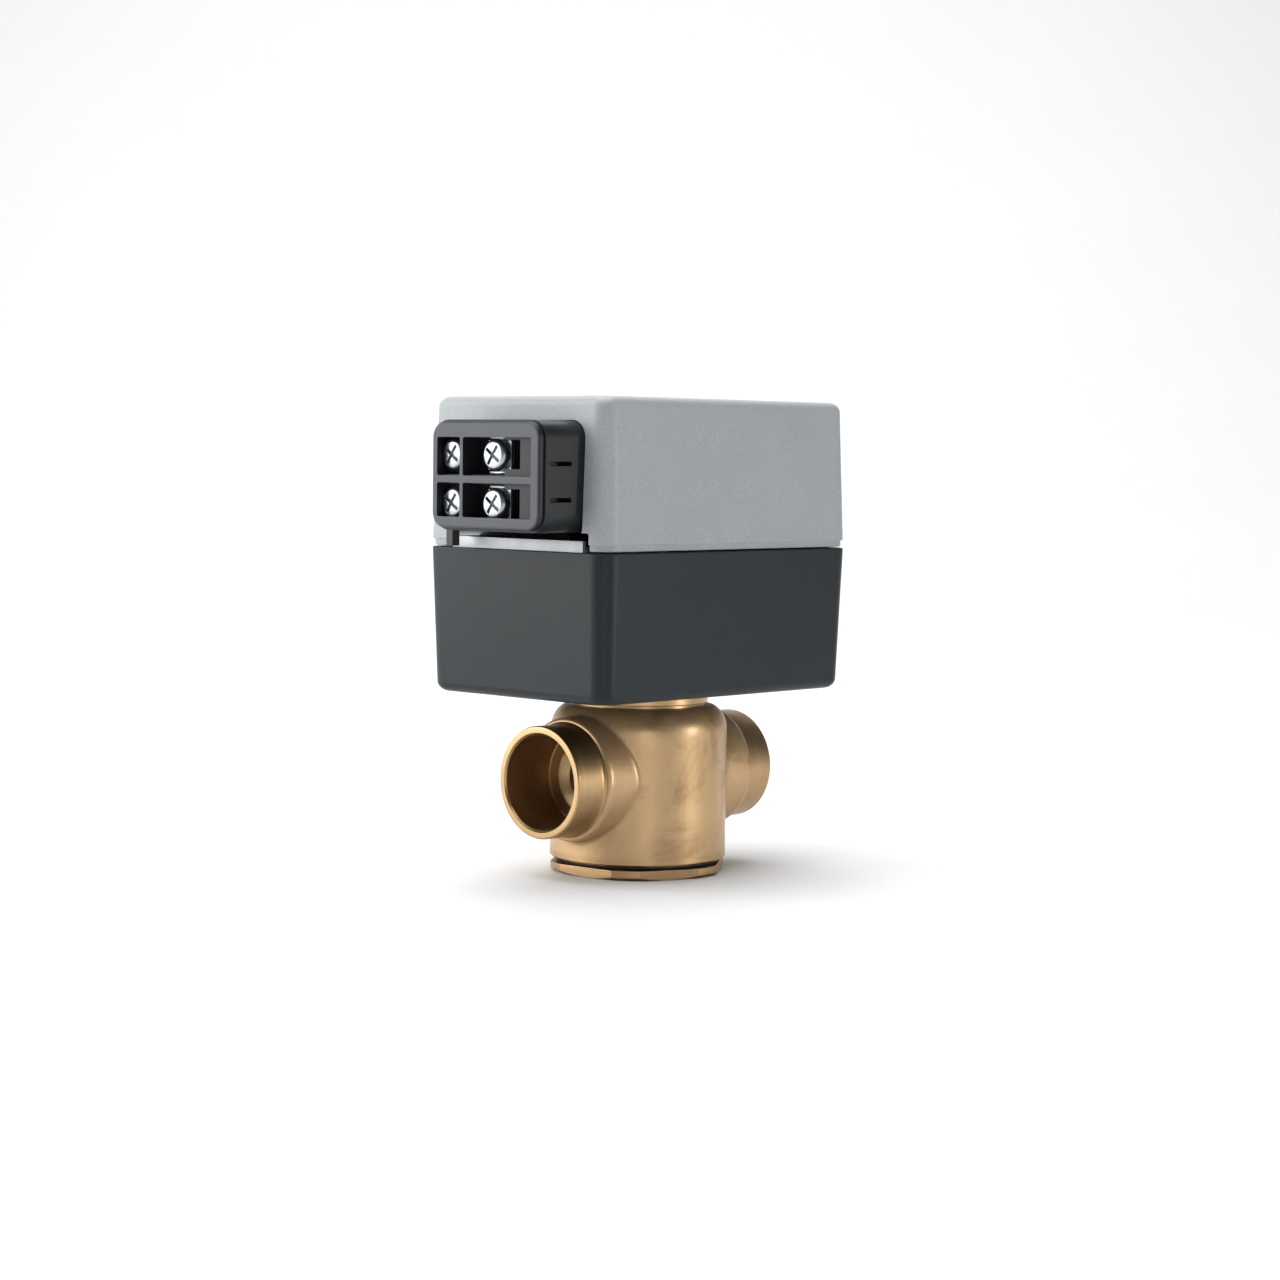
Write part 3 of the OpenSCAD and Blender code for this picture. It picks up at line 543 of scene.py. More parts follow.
def housing(name, open_z, end_z, thick_end, reveal=0):
    """A drafted open box with a rolled edge at end_z, as one closed shell."""
    up = 1 if end_z > open_z else -1
    height = abs(end_z - open_z)

    def drafted(z):
        return DRAFT * abs(z - open_z) / height

    loops = [wall_loop(reveal + inset, open_z + up * rise) for inset, rise in RIM]
    if reveal:
        step = open_z + up * REVEAL_H
        loops.append(wall_loop(reveal, step))
        for inset, rise in STEP:
            loops.append(wall_loop(drafted(step) + inset, step + up * rise))
    edge_steps = 10
    for k in range(edge_steps + 1):
        a = math.radians(90 * k / edge_steps)
        z = end_z - up * EDGE * (1 - math.sin(a))
        loops.append(wall_loop(drafted(z) + EDGE * (1 - math.cos(a)), z))
    rim = len(loops) - 1
    inner_end = end_z - up * thick_end
    inner_steps = 6
    for k in range(inner_steps, -1, -1):
        a = math.radians(90 * k / inner_steps)
        z = inner_end - up * INNER_EDGE * (1 - math.sin(a))
        loops.append(wall_loop(WALL + drafted(z) + INNER_EDGE * (1 - math.cos(a)), z, CORNER - 1))
    loops.append(wall_loop(WALL, open_z, CORNER - 1))
    shell = loft(name, loops, False, False)
    bm = bmesh.new()
    bm.from_mesh(shell.data)
    n = len(loops[0])
    bm.verts.ensure_lookup_table()
    # the loft joined the outer end to the inner end: that strip becomes two caps, and the mouth a rim
    for face in [f for f in bm.faces if {v.index // n for v in f.verts} == {rim, rim + 1}]:
        bm.faces.remove(face)
    bm.faces.new([bm.verts[rim * n + k] for k in range(n)])
    bm.faces.new([bm.verts[(rim + 1) * n + k] for k in range(n)])
    last = len(loops) - 1
    for k in range(n):
        m = (k + 1) % n
        bm.faces.new([bm.verts[k], bm.verts[m], bm.verts[last * n + m], bm.verts[last * n + k]])
    bmesh.ops.recalc_face_normals(bm, faces=bm.faces)
    bm.to_mesh(shell.data)
    bm.free()
    return shell


def prism_x(name, x0, x1, outline):
    """An outline of (y, z) points stretched along X."""
    return loft(name, [[(x, y, z) for y, z in outline] for x in (x0, x1)])


def round_outline(y0, y1, z0, z1, r, n=8):
    return corner_loop(y1 - y0, z1 - z0, r, lambda u, v: (u + (y0 + y1) / 2, v + (z0 + z1) / 2), n)


# the block's own face, without the ears inside the cover
BEZEL_INSET = 0.5
BLOCK_CORNER = 4
BLOCK_GAP = 0.15
FACE_Y0, FACE_Y1 = BEZEL_LO[1] - BEZEL_INSET, BEZEL_HI[1] + BEZEL_INSET
FACE_Z0, FACE_Z1 = BEZEL_LO[2] - BEZEL_INSET, BEZEL_HI[2] + BEZEL_INSET
SLOT_Y0, SLOT_Y1 = -24.2, 20.3


def node_centres(node, reach=8):
    """Centres of the separate upright solids of a node: its points grouped within reach in x and y."""
    groups = []
    for v in nodes[node].data.vertices:
        p = v.co / MM
        for group in groups:
            if abs(group[0].x - p.x) < reach and abs(group[0].y - p.y) < reach:
                group.append(p)
                break
        else:
            groups.append([p])
    middles = []
    for group in groups:
        xs = [q.x for q in group]
        ys = [q.y for q in group]
        middles.append(((min(xs) + max(xs)) / 2, (min(ys) + max(ys)) / 2))
    return middles


PILLARS = node_centres("cover_pillars")
SCREW_SEAT = COVER_TOP - 1.6
SCREW_HOLE_R = 1.65
SCREW_HEAD_R = 2.9
SCREW_HEAD_H = 1.5
SEAT_R = 3.1
BOSS_R = 4


def make_cover():
    """The grey shell, cut for the block, the lever and the screws, with a boss under each screw."""
    cover = housing("cover_shell", COVER_LO[2], COVER_TOP, FLOOR, REVEAL_DEPTH)
    notch = round_outline(FACE_Y0 - BLOCK_GAP, FACE_Y1 + BLOCK_GAP, FACE_Z0 - 3, FACE_Z1 + BLOCK_GAP,
                          BLOCK_CORNER + BLOCK_GAP)
    combine(cover, prism_x("notch", -47, -36, notch))
    combine(cover, prism_x("slot", -47, -36, round_outline(SLOT_Y0, SLOT_Y1, 70, FACE_Z0 - 0.02, 0.6)))
    bosses = []
    for x, y in PILLARS:
        hole = [(0, 100), (SCREW_HOLE_R, 100), (SCREW_HOLE_R, SCREW_SEAT), (SEAT_R, SCREW_SEAT),
                (SEAT_R, COVER_TOP - 0.3), (SEAT_R + 0.4, COVER_TOP + 0.1), (SEAT_R + 0.4, 115), (0, 115)]
        combine(cover, lathe("screw_hole", hole, at=(x, y, 0), steps=48))
        boss = [(SCREW_HOLE_R, COVER_TOP - 4), (BOSS_R, COVER_TOP - 4), (BOSS_R, COVER_TOP - FLOOR),
                (SCREW_HOLE_R, COVER_TOP - FLOOR)]
        bosses.append(lathe("boss", boss, at=(x, y, 0), steps=48, closed=True))
    settle(bevel(cover, 0.18, 2, 50))
    place(shade(join("cover_shell", [cover] + bosses), 28), "root", "cover_grey", "cover")


SCREW_BOSS_TOP = 75
AXLE_BOSS_TOP = 55.5
RAIL_X = (-8, 14)
RAIL_Y = (15.3, 17.3)
RAIL_TOP = 47.5
BRIDGE_X = (24, 26)
BRIDGE_Y = (5.4, 7.4)
BRIDGE_TOP = 53.6
BUTTON_HOLE_TOP = 53.8


def floor_boss(x, y, bore_r, foot_r, r, top):
    """A hollow post with a flared foot on the base's floor."""
    floor_top = BASE_LO[2] + FLOOR
    profile = [(bore_r, floor_top), (foot_r, floor_top), (r, floor_top + 2), (r, top), (bore_r, top)]
    return lathe("boss", profile, at=(x, y, 0), steps=40, closed=True)


def make_base():
    """The dark shell with its posts, the latch plate's rails and the bridge behind the push spring."""
    base = housing("base_shell", SPLIT, BASE_LO[2], FLOOR)
    hole_r = NECK_R + 0.25
    combine(base, lathe("neck_hole", [(0, 38), (hole_r, 38), (hole_r, 50), (0, 50)]))
    hole = round_outline(BUTTON_LO[1] + 0.8, BUTTON_HI[1] - 0.8, BUTTON_LO[2] - 0.2, BUTTON_HOLE_TOP, 0.8)
    combine(base, prism_x("button_hole", 37, 46, hole))
    settle(bevel(base, 0.18, 2, 50))
    floor_top = BASE_LO[2] + FLOOR
    parts = [floor_boss(x, y, THREAD_R, 3.6, 3.4, SCREW_BOSS_TOP) for x, y in node_centres("plate_screws")]
    (axle_x, axle_y), = node_centres("second_axle")
    parts.append(floor_boss(axle_x, axle_y, AXLE_R, 3.3, 3, AXLE_BOSS_TOP))
    for s in (-1, 1):
        for (x0, x1), sides, top in ((RAIL_X, RAIL_Y, RAIL_TOP), (BRIDGE_X, BRIDGE_Y, BRIDGE_TOP)):
            y0, y1 = sorted(s * y for y in sides)
            parts.append(box("rail", (x0, y0, floor_top), (x1, y1, top)))
    low = (BRIDGE_X[0], -BRIDGE_Y[0], RAIL_TOP)
    parts.append(box("span", low, (BRIDGE_X[1], BRIDGE_Y[0], BRIDGE_TOP)))
    place(shade(join("base_shell", [base] + parts), 28), "root", "base_slate", "base_housing")


def make_cover_screws():
    """Pan heads with a cross recess, sunk in the cover."""
    seat = SCREW_SEAT
    recess = seat + 0.9
    profile = [(0, seat), (SCREW_HEAD_R, seat)]
    profile += arc(SCREW_HEAD_R - 0.6, recess, 0.6, 0, 80, 5) + [(0, seat + SCREW_HEAD_H)]
    shank_profile = [(0, seat - 10), (SHANK_R, seat - 10), (SHANK_R, seat), (0, seat)]
    screws = []
    for x, y in PILLARS:
        head = lathe("head", profile, at=(x, y, 0), steps=64)
        for half_x, half_y in ((1.8, 0.3), (0.3, 1.8)):
            combine(head, box("bar", (x - half_x, y - half_y, recess), (x + half_x, y + half_y, seat + 3)))
        shank = lathe("shank", shank_profile, at=(x, y, 0), steps=32)
        screws += [settle(bevel(head, 0.07, 2, 40)), shank]
    place(shade(join("cover_pan_screws", screws), 35), "root", NODE_SLOT["cover_screws"], "cover_screws")


make_cover()
make_cover_screws()
make_base()

# ---------------------------------------------------------------- brass body


FORGED_FOOT = 3.8
FORGED_SHOULDER = 34
FORGED_TOP = 39.4
FORGED_PORT_END = 24.5
SHOULDER_R = 6
CHAMBER_R = 16.5
CHAMBER_FLOOR = 9.8
CHAMBER_TOP = 33.5
COLLAR_R = 16.2
COLLAR_Z = 40
NECK_TOP = 49.7
LATCH_GROOVE_R = 10.4
LATCH_GROOVE = (45.5, 47.3)
GLAND_R = 6
GLAND_FLOOR = 44.7
CLIP_GROOVE_R = 6.7
CLIP_GROOVE = (48.6, 49.4)
LIP_TOP = 5.2
# each port: the way its axis points, its letter and the radius of its waterway
PORTS = (("X", "b", 6.8), ("-X", "a", 5.8))


def place_brass(obj, finish):
    place(shade(obj, 30), "root", "brass_body", "valve_body", finish)


def make_forging():
    """The forged outside with soft fillets, cut by the machined chamber and bores."""
    barrel = [(0, FORGED_FOOT), (BARREL_R, FORGED_FOOT), (BARREL_R, FORGED_SHOULDER)]
    barrel += arc(BARREL_R - SHOULDER_R, FORGED_SHOULDER, SHOULDER_R, 5, 62, 8)
    barrel += [(17.2, FORGED_TOP), (0, FORGED_TOP)]
    forging = lathe("forged_body", barrel, steps=128)
    end = FORGED_PORT_END
    boss = [(0, 5), (14.5, 5), (14.4, end - 0.6), (14, end), (0, end)]
    for axis, _, _ in PORTS:
        combine(forging, lathe("boss", boss, axis, (0, 0, PORT_Z)), "UNION")
    remesh = forging.modifiers.new("remesh", "REMESH")
    remesh.mode = "VOXEL"
    remesh.voxel_size = 0.42 * MM
    settle(forging)
    smooth = forging.modifiers.new("smooth", "SMOOTH")
    smooth.factor = 0.5
    smooth.iterations = 9
    settle(forging)
    chamber = [(0, 2), (PLUG_BORE_R, 2), (PLUG_BORE_R, CHAMBER_FLOOR), (CHAMBER_R, CHAMBER_FLOOR),
               (CHAMBER_R, CHAMBER_TOP), (STEM_BORE_R, CHAMBER_TOP), (STEM_BORE_R, 41), (0, 41)]
    combine(forging, lathe("chamber", chamber))
    for axis, _, bore in PORTS:
        inside = [(0, 8), (bore, 8), (bore, SOCKET_END - 1.2), (bore + 1.8, SOCKET_END),
                  (SOCKET_R, SOCKET_END), (SOCKET_R, PORT_END + 1), (0, PORT_END + 1)]
        combine(forging, lathe("bore", inside, axis, (0, 0, PORT_Z)))
    forging.data.shade_smooth()
    forging.data.set_sharp_from_angle(angle=math.radians(40))
    place(forging, "root", "brass_body", "valve_body")


def make_port_ends():
    """Turned sleeves over the ends of the ports, and the linings of their sockets."""
    round_r = 0.45
    end = [(SOCKET_R + 0.02, SOCKET_END + 0.02), (SOCKET_R + 0.02, PORT_END - 0.5),
           (SOCKET_R + 0.35, PORT_END)]
    end += arc(PORT_R - round_r, PORT_END - round_r, round_r, 90, 0, 4)
    end += [(PORT_R, 25.4), (PORT_R + 0.2, 24.8), (13.6, 24.3), (SOCKET_R + 0.4, 24)]
    lining = [(SOCKET_R - 0.01, PORT_END - 0.6), (SOCKET_R - 0.03, SOCKET_END + 0.3),
              (SOCKET_R - 0.5, SOCKET_END + 0.03), (8.2, SOCKET_END + 0.02), (8.2, SOCKET_END - 0.1),
              (SOCKET_R + 0.3, SOCKET_END - 0.1), (SOCKET_R + 0.3, PORT_END - 0.6)]
    for axis, letter, _ in PORTS:
        place_brass(lathe(f"port_{letter}_end", end, axis, (0, 0, PORT_Z), 128, True), "turned_x")
        place_brass(lathe(f"port_{letter}_bore", lining, axis, (0, 0, PORT_Z), 128, True), "socket")


def make_neck():
    """The turned collar under the base, and the neck with its two grooves and the gland's bore."""
    seat = BASE_LO[2]
    neck = [(STEM_BORE_R, 39.3), (15.6, 39.3), (15.6, COLLAR_Z), (16, COLLAR_Z)]
    neck += arc(COLLAR_R - 0.25, COLLAR_Z + 0.25, 0.25, -90, 0, 3)
    neck += [(COLLAR_R, seat - 0.3), (COLLAR_R - 0.3, seat), (NECK_R, seat)]
    neck += [(NECK_R, LATCH_GROOVE[0]), (LATCH_GROOVE_R, LATCH_GROOVE[0])]
    neck += [(LATCH_GROOVE_R, LATCH_GROOVE[1]), (NECK_R, LATCH_GROOVE[1])]
    neck += [(NECK_R, NECK_TOP - 0.5), (NECK_R - 0.5, NECK_TOP), (GLAND_R, NECK_TOP)]
    neck += [(GLAND_R, CLIP_GROOVE[1]), (CLIP_GROOVE_R, CLIP_GROOVE[1])]
    neck += [(CLIP_GROOVE_R, CLIP_GROOVE[0]), (GLAND_R, CLIP_GROOVE[0])]
    neck += [(GLAND_R, GLAND_FLOOR), (STEM_BORE_R, GLAND_FLOOR)]
    place_brass(lathe("valve_neck", neck, steps=128, closed=True), "turned_z")


def make_lip():
    """The turned ring at the barrel's foot."""
    foot = BODY_LO[2]
    lip = [(PLUG_BORE_R, foot), (BARREL_R - 0.4, foot), (BARREL_R, foot + 0.4),
           (BARREL_R + 0.02, LIP_TOP), (PLUG_BORE_R, LIP_TOP)]
    place_brass(lathe("valve_lip", lip, steps=128, closed=True), "turned_z")


CAP_FLANGE = 2.4
CAP_R = 21
CAP_ACROSS_FLATS = 39.4
CAP_TURN = 36
PLUG_FOOT = 2.3
PLUG_TOP = 9.6
PLUG_R = 18.1
PLUG_THREAD_DEPTH = 0.6
PLUG_THREADS = 5
PLUG_THREAD_START = 4.0
PLUG_PITCH = 1.05
DISH_R = 14
DISH_FLOOR = 3.4
PIVOT_R = 5
PIVOT_TOP = 9
PIVOT_BORE_R = 3.5
PIVOT_BORE_FLOOR = 4


def make_cap():
    """Hexagon with turned corners, and the plug that screws into the body."""
    turned = [(0, 0), (CAP_R - 1.4, 0), (CAP_R, 0.75), (CAP_R, CAP_FLANGE), (0, CAP_FLANGE)]
    cap = lathe("bottom_cap_hex", turned, steps=128)
    corner_r = CAP_ACROSS_FLATS / math.sqrt(3)
    corners = [math.radians(CAP_TURN + 60 * k) for k in range(6)]
    hexagon = [[(corner_r * math.cos(a), corner_r * math.sin(a), z) for a in corners] for z in (-1, 4)]
    combine(cap, loft("hexagon", hexagon), "INTERSECT")
    settle(bevel(cap, 0.22, 3, 30))
    plug = [(PLUG_R, PLUG_FOOT), (PLUG_R, 3.8)]
    for k in range(PLUG_THREADS):
        z = PLUG_THREAD_START + k * PLUG_PITCH
        plug += [(PLUG_R, z), (PLUG_R - PLUG_THREAD_DEPTH, z + 0.5), (PLUG_R, z + 1)]
    plug += [(PLUG_R, PLUG_TOP - 0.3), (PLUG_R - 0.3, PLUG_TOP), (DISH_R, PLUG_TOP), (DISH_R, DISH_FLOOR)]
    plug += [(PIVOT_R, DISH_FLOOR), (PIVOT_R, PIVOT_TOP), (PIVOT_BORE_R, PIVOT_TOP)]
    plug += [(PIVOT_BORE_R, PIVOT_BORE_FLOOR), (0, PIVOT_BORE_FLOOR), (0, PLUG_FOOT)]
    parts = [cap, lathe("plug", plug, steps=128)]
    place(shade(join("bottom_cap_hex", parts), 30), "root", "brass_bright", "bottom_cap", "turned_z")


make_forging()
make_port_ends()
make_neck()
make_lip()
make_cap()

# ---------------------------------------------------------------- terminal block


TERM_Y = (8.3, -5)
TERM_Z = (97.6, 86.8)
TERMINALS = [(y, z) for y in TERM_Y for z in TERM_Z]
POCKET_Y = ((3.6, 12.1), (-9.1, 2.6))
POCKET_HALF_H = 4.4
POCKET_DEPTH = 4.1
ENTRY_Y = (-14, -9)
ENTRY_DOWN, ENTRY_UP = 3, 3.4
ENTRY_DEPTH = 5.9
RIB_Y = (2.6, 3.6)
RIB_Z = (91.4, 93)
SLIT_Z = (88, 95.9)
SLIT_DEPTH = (3, 0.6)
SLIT_X = (-52, -45.4)
SLIT_HALF_H = 0.5
FRONT = BEZEL_LO[0]
BLOCK_FRONT = BEZEL_HI[0] + 0.1
BLOCK_BACK = -39
EAR_THICK = 2
BEZEL_ROLL = 0.6
CLAMP_X = (-50.9, -49.7)
CLAMP_HALF_W = 3.6
CLAMP_HALF_H = 4.1
TERM_HEAD_R = 3.6
TERM_HEAD_FOOT = 50.9
TERM_HEAD_SIDE = 51.9
TERM_HEAD_TOP = 53.2
CROSS_FLOOR = 52
CROSS_LENGTH = 5
CROSS_WIDTH = 0.84
CROSS_TURN = 35
TERM_SHANK_TIP = 43
TERM_ROOT_R = 1.2
TERM_THREAD_STEP = 0.28


def make_block():
    """The housing of the terminals with their pockets and wire entries, its back and its two ears."""
    face = round_outline(FACE_Y0, FACE_Y1, FACE_Z0, FACE_Z1, BLOCK_CORNER)
    block = prism_x("terminal_housing", BLOCK_FRONT, BLOCK_BACK, face)
    hole = [(0, 30), (1.6, 30), (1.6, 60), (0, 60)]
    for y, z in TERMINALS:
        combine(block, lathe("hole", hole, "-X", (0, y, z), 32))
    for z in TERM_Z:
        for y0, y1 in POCKET_Y:
            end = (BLOCK_FRONT + POCKET_DEPTH, y1, z + POCKET_HALF_H)
            combine(block, box("pocket", (FRONT, y0, z - POCKET_HALF_H), end))
        end = (BLOCK_FRONT + ENTRY_DEPTH, ENTRY_Y[1], z + ENTRY_UP)
        combine(block, box("entry", (FRONT, ENTRY_Y[0], z - ENTRY_DOWN), end))
    for z in SLIT_Z:
        for y0, y1 in ((FACE_Y0 - 1, FACE_Y0 + SLIT_DEPTH[0]), (FACE_Y1 - SLIT_DEPTH[1], FACE_Y1 + 1)):
            low = (SLIT_X[0], y0, z - SLIT_HALF_H)
            combine(block, box("slit", low, (SLIT_X[1], y1, z + SLIT_HALF_H)))
    settle(bevel(block, 0.3, 3, 40))
    low = (BLOCK_BACK - 0.2, BLOCK_LO[1], FACE_Z0 + 3)
    back = box("back", low, (BLOCK_HI[0], BLOCK_HI[1], FACE_Z0 + 24))
    ears = []
    for y in (BLOCK_LO[1], BLOCK_HI[1] - EAR_THICK):
        foot = (BLOCK_BACK - 0.1, y, SPLIT + 0.02)
        ears.append(box("ear", foot, (BLOCK_HI[0], y + EAR_THICK, FACE_Z0 + 4)))
    extras = [settle(bevel(extra, 0.25, 2)) for extra in [back] + ears]
    place(shade(join("terminal_housing", [block] + extras), 35), "root", "block_dark", "terminal_block")


def make_bezel():
    """The frame over the clamps: rolled outer edge and four windows."""
    loops = []
    steps = 6
    for k in range(steps + 1):
        a = math.radians(90 * k / steps)
        inset = BEZEL_INSET + BEZEL_ROLL * (1 - math.sin(a))
        outline = round_outline(FACE_Y0 + inset, FACE_Y1 - inset, FACE_Z0 + inset, FACE_Z1 - inset,
                                BLOCK_CORNER - inset)
        loops.append([(FRONT + BEZEL_ROLL * (1 - math.cos(a)), y, z) for y, z in outline])
    outline = round_outline(BEZEL_LO[1], BEZEL_HI[1], BEZEL_LO[2], BEZEL_HI[2], BLOCK_CORNER - BEZEL_INSET)
    loops.append([(BEZEL_HI[0], y, z) for y, z in outline])
    bezel = loft("terminal_frame", loops)
    for left, right in ((FACE_Y0 + 3, RIB_Y[0]), (RIB_Y[1], FACE_Y1 - 2.2)):
        for low, high in ((FACE_Z0 + 3, RIB_Z[0]), (RIB_Z[1], FACE_Z1 - 3.9)):
            window = round_outline(left, right, low, high, 0.5, 4)
            combine(bezel, prism_x("window", FRONT - 1, BEZEL_HI[0] + 1, window))
    settle(bevel(bezel, 0.15, 2, 50))
    place(shade(bezel, 30), "root", "block_dark", "terminal_bezel", "bezel_dark")


def make_terminal_screws():
    """Domed heads with a turned cross recess, and threaded shanks."""
    dome = [(0, TERM_HEAD_FOOT), (TERM_HEAD_R, TERM_HEAD_FOOT), (TERM_HEAD_R, TERM_HEAD_SIDE)]
    dome += arc(2.4, TERM_HEAD_SIDE + 0.05, 1.2, 8, 80, 5)
    dome += [(1.2, TERM_HEAD_TOP - 0.01), (0, TERM_HEAD_TOP)]
    thread = [(0, TERM_SHANK_TIP), (1.3, TERM_SHANK_TIP), (SHANK_R, TERM_SHANK_TIP + 0.3)]
    for k in range(26):
        thread.append((SHANK_R if k % 2 else TERM_ROOT_R, TERM_SHANK_TIP + 0.5 + TERM_THREAD_STEP * k))
    thread += [(SHANK_R, TERM_HEAD_FOOT), (0, TERM_HEAD_FOOT)]
    half_l, half_w = CROSS_LENGTH / 2, CROSS_WIDTH / 2
    screws = []
    for y, z in TERMINALS:
        head = lathe("head", dome, "-X", (0, y, z), 48)
        for turn in (CROSS_TURN, CROSS_TURN + 90):
            bar = box("bar", (-CROSS_FLOOR - 2, -half_l, -half_w), (-CROSS_FLOOR, half_l, half_w))
            bar.data.transform(Matrix.Rotation(math.radians(turn), 4, "X"))
            bar.data.transform(Matrix.Translation(Vector((0, y, z)) * MM))
            combine(head, bar)
        settle(bevel(head, 0.12, 2, 40))
        screws += [head, lathe("shank", thread, "-X", (0, y, z), 32)]
    place(shade(join("terminal_pan_screws", screws), 35), "root", "zinc_steel", "terminal_screws")


def make_clamps():
    """Square washers, each with a hole and two shallow wire grooves."""
    hole = [(0, 45), (1.55, 45), (1.55, 55), (0, 55)]
    groove = [(0, -5), (0.5, -5), (0.5, 5), (0, 5)]
    clamps = []
    for y, z in TERMINALS:
        low = (CLAMP_X[0], y - CLAMP_HALF_W, z - CLAMP_HALF_H)
        plate = box("clamp", low, (CLAMP_X[1], y + CLAMP_HALF_W, z + CLAMP_HALF_H))
        combine(plate, lathe("hole", hole, "-X", (0, y, z), 32))
        for rise in (-3.75, 3.75):
            combine(plate, lathe("groove", groove, "Y", (CLAMP_X[0] - 0.05, y, z + rise), 16))
        clamps.append(settle(bevel(plate, 0.25, 3, 35)))
    place(shade(join("terminal_wire_clamps", clamps), 35), "root", "zinc_steel", "terminal_clamps")


make_block()
make_bezel()
make_terminal_screws()
make_clamps()

# ---------------------------------------------------------------- lever tip, button, springs


LEVER_REST = 180 - 17
TIP_R = (48.2, 50)
TIP_HALF_W = 1.6
TIP_Z = (77, 80.65)
BUTTON_BACK = 34
BUTTON_HALF_W = 5
BUTTON_Z = (46.2, 53.6)
BUTTON_FLANGE_HALF_W = 6
BUTTON_FLANGE_Z = (47.8, 54.4)
BUTTON_FLANGE_END = 38.6
GRIP_GROOVES = 5
GRIP_START = 47.6
GRIP_PITCH = 1.15
RETURN_R = 9.4
RETURN_WIRE_R = 0.59
RETURN_Z = 60.4
RETURN_LENGTH = 12.4
RETURN_TURNS = 5
RETURN_START = 200
PUSH_R = 2
PUSH_WIRE_R = 0.29
PUSH_X = 26.35
PUSH_Z = 50.6
PUSH_LENGTH = 10.2
PUSH_TURNS = 7


def make_lever_tip():
    """A small black cap hooked over the lever's end, made along X and turned to the lever's rest."""
    tip = box("lever_cap", (TIP_R[0], -TIP_HALF_W, TIP_Z[0]), (TIP_R[1], TIP_HALF_W, TIP_Z[1]))
    combine(tip, box("pocket", (47, -1.5, 79.3), (49.1, 1.5, 80.5)))
    settle(bevel(tip, 0.35, 3, 40))
    tip.data.transform(Matrix.Rotation(math.radians(LEVER_REST), 4, "Z"))
    place(shade(tip), "output", "lever_black", "lever_tip")


def make_button():
    """The red button with grip grooves, a slot for the latch plate's tail, a spring pocket and a flange."""
    half = BUTTON_HALF_W
    low, high = BUTTON_Z
    button = box("release_push", (BUTTON_BACK, -half, low), (BUTTON_HI[0], half, high))
    combine(button, box("tail_slot", (30, -4.6, 44.7), (34.9, 4.6, 47.1)))
    pocket = [(0, 33), (2.6, 33), (2.6, 37), (0, 37)]
    combine(button, lathe("spring_pocket", pocket, "X", (0, 0, PUSH_Z), 32))
    groove = [(0, -3.9), (0.28, -3.9), (0.28, 3.9), (0, 3.9)]
    for k in range(GRIP_GROOVES):
        z = GRIP_START + k * GRIP_PITCH
        combine(button, lathe("groove", groove, "Y", (BUTTON_HI[0], 0, z), 16))
    settle(bevel(button, 0.4, 3, 60))
    half = BUTTON_FLANGE_HALF_W
    low, high = BUTTON_FLANGE_Z
    flange = box("flange", (BUTTON_BACK, -half, low), (BUTTON_FLANGE_END, half, high))
    combine(flange, box("core", (33, -4.9, 47), (39, 4.9, 53.5)))
    settle(bevel(flange, 0.2, 2))
    place(shade(join("release_push", [button, flange])), "release", "red_plastic", "release_button")


def steel_spring(name, path, wire_r, replaced):
    """A coil of round wire that stands for a CAD spring."""
    spring = tube(name, path, wire_r)
    spring.data.materials.append(M["steel"])
    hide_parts(replaced)
    return spring


def make_return_spring():
    """Coils round the stem, with a straight leg at the top end."""
    per_turn = 16
    count = RETURN_TURNS * per_turn
    path = []
    for i in range(count + 1):
        a = math.radians(RETURN_START + 360 / per_turn * i)
        path.append((RETURN_R * math.cos(a), RETURN_R * math.sin(a), RETURN_Z + RETURN_LENGTH * i / count))
    x, y, z = path[-1]
    path += [(x + 1.2, y - 3.4, z + 0.1), (x + 2.1, y - 6, z + 0.1)]
    spring = steel_spring("return_coil", path, RETURN_WIRE_R, "return_spring")
    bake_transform(spring)


def make_push_spring():
    """Coils along X behind the button."""
    per_turn = 12
    count = PUSH_TURNS * per_turn
    path = []
    for i in range(count + 1):
        a = math.radians(360 / per_turn * i)
        x = PUSH_X + PUSH_LENGTH * i / count
        path.append((x, PUSH_R * math.cos(a), PUSH_Z + PUSH_R * math.sin(a)))
    spring = steel_spring("release_coil", path, PUSH_WIRE_R, "release_spring")
    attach(spring, "root")
    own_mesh(spring)


make_lever_tip()
make_button()
make_return_spring()
make_push_spring()

# ---------------------------------------------------------------- leads



def round_leads():
    """The CAD leads have many flat sides: a subdivision rounds them."""
    for name in ("motor_leads", "switch_leads"):
        modifier = nodes[name].modifiers.new("round", "SUBSURF")
        modifier.levels = modifier.render_levels = 2
        nodes[name].data.set_sharp_from_angle(angle=math.radians(80))


round_leads()

# ---------------------------------------------------------------- stage and light


# the sweep in m: its near end, where the rise begins, its bend, its top and half its width
SWEEP_NEAR = -3.0
SWEEP_BEND_AT = 0.9
SWEEP_BEND_R = 0.6
SWEEP_TOP = 3.0
SWEEP_HALF_W = 4
MIDDLE = (0, 0, 0.07)
BRASS_MIDDLE = (0, 0, 0.035)


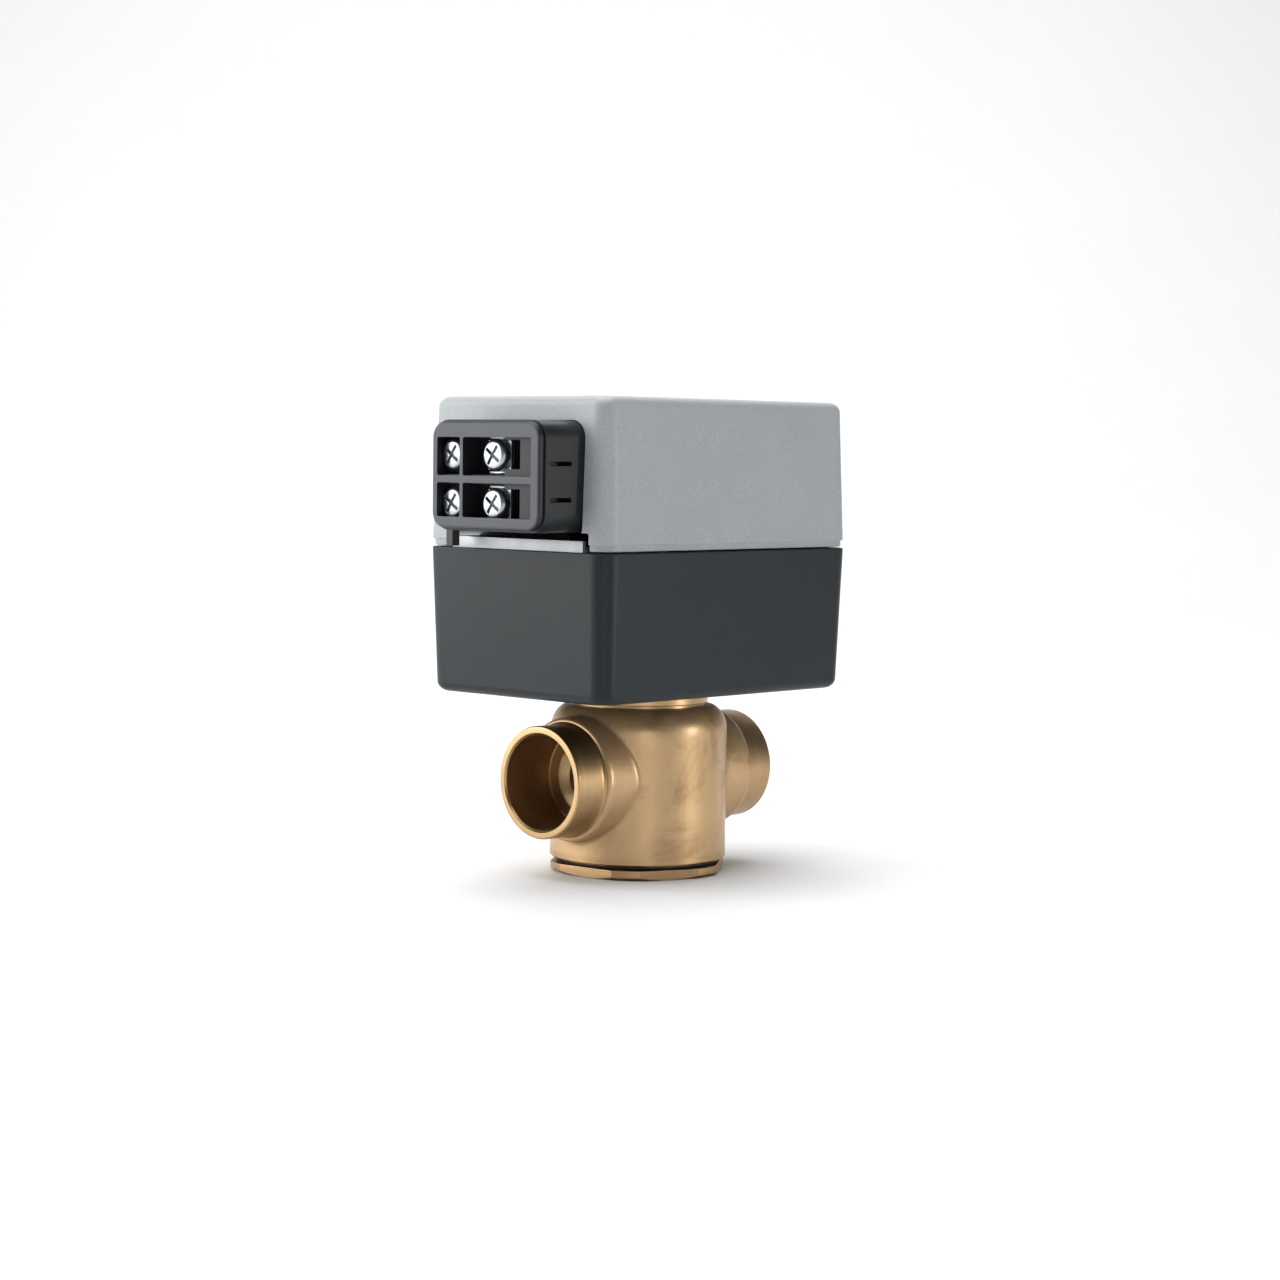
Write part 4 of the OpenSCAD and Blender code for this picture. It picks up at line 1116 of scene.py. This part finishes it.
def make_stage():
    """A pale sweep: floor, then a smooth rise behind."""
    a = math.radians(CAMERA_AZ)
    away = Vector((-math.sin(a), math.cos(a), 0))
    across = Vector((math.cos(a), math.sin(a), 0))
    profile = [(SWEEP_NEAR, 0), (SWEEP_BEND_AT, 0)]
    for k in range(1, 11):
        bend = math.radians(9 * k)
        rise = SWEEP_BEND_R - SWEEP_BEND_R * math.cos(bend)
        profile.append((SWEEP_BEND_AT + SWEEP_BEND_R * math.sin(bend), rise))
    profile.append((SWEEP_BEND_AT + SWEEP_BEND_R, SWEEP_TOP))
    points = []
    for s in (-SWEEP_HALF_W, SWEEP_HALF_W):
        for d, z in profile:
            p = away * d + across * s
            points.append((p.x, p.y, z))
    n = len(profile)
    faces = [[i, i + 1, n + i + 1, n + i] for i in range(n - 1)]
    mesh = bpy.data.meshes.new("sweep")
    mesh.from_pydata(points, [], faces)
    mesh.shade_smooth()
    sweep = link("sweep", mesh)
    paint = Paint("pale_sweep")
    tone = paint.ramp(paint.noise(3, 2), [(0.3, (0.73, 0.735, 0.74)), (0.7, (0.75, 0.755, 0.76))])
    sweep.data.materials.append(paint.finish(tone, paint.spread(paint.noise(40, 3), 0.75, 0.85)))


def area_light(name, spot, size, power, aim=MIDDLE):
    """A rectangular lamp at spot, in m, that shines at aim."""
    data = bpy.data.lights.new(name, "AREA")
    data.shape = "RECTANGLE"
    data.size, data.size_y = size
    data.energy = power
    lamp = bpy.data.objects.new(name, data)
    scene.collection.objects.link(lamp)
    lamp.location = spot
    lamp.rotation_euler = (Vector(spot) - Vector(aim)).to_track_quat("Z", "Y").to_euler()


def make_world():
    """A weak, slightly cool sky."""
    world = bpy.data.worlds.new("studio")
    scene.world = world
    world.use_nodes = True
    background = world.node_tree.nodes["Background"]
    background.inputs["Color"].default_value = (0.95, 0.97, 1.0, 1)
    background.inputs["Strength"].default_value = 0.12


make_stage()
area_light("left_box", (-0.80, 0.76, 0.30), (1.1, 1.0), 16.5)
area_light("top_box", (-0.15, 0.0, 1.1), (1.1, 1.1), 16.0)
area_light("right_strip", (0.39, -0.79, 0.10), (0.10, 0.3), 2.2, BRASS_MIDDLE)
area_light("low_fill", (-0.66, -0.90, 0.05), (0.4, 0.2), 1.0, BRASS_MIDDLE)
area_light("back_wash", (1.1, 1.0, 1.7), (1.6, 1.6), 34.0, (1.3, 1.2, 0.2))
make_world()
scene.view_settings.view_transform = "Standard"
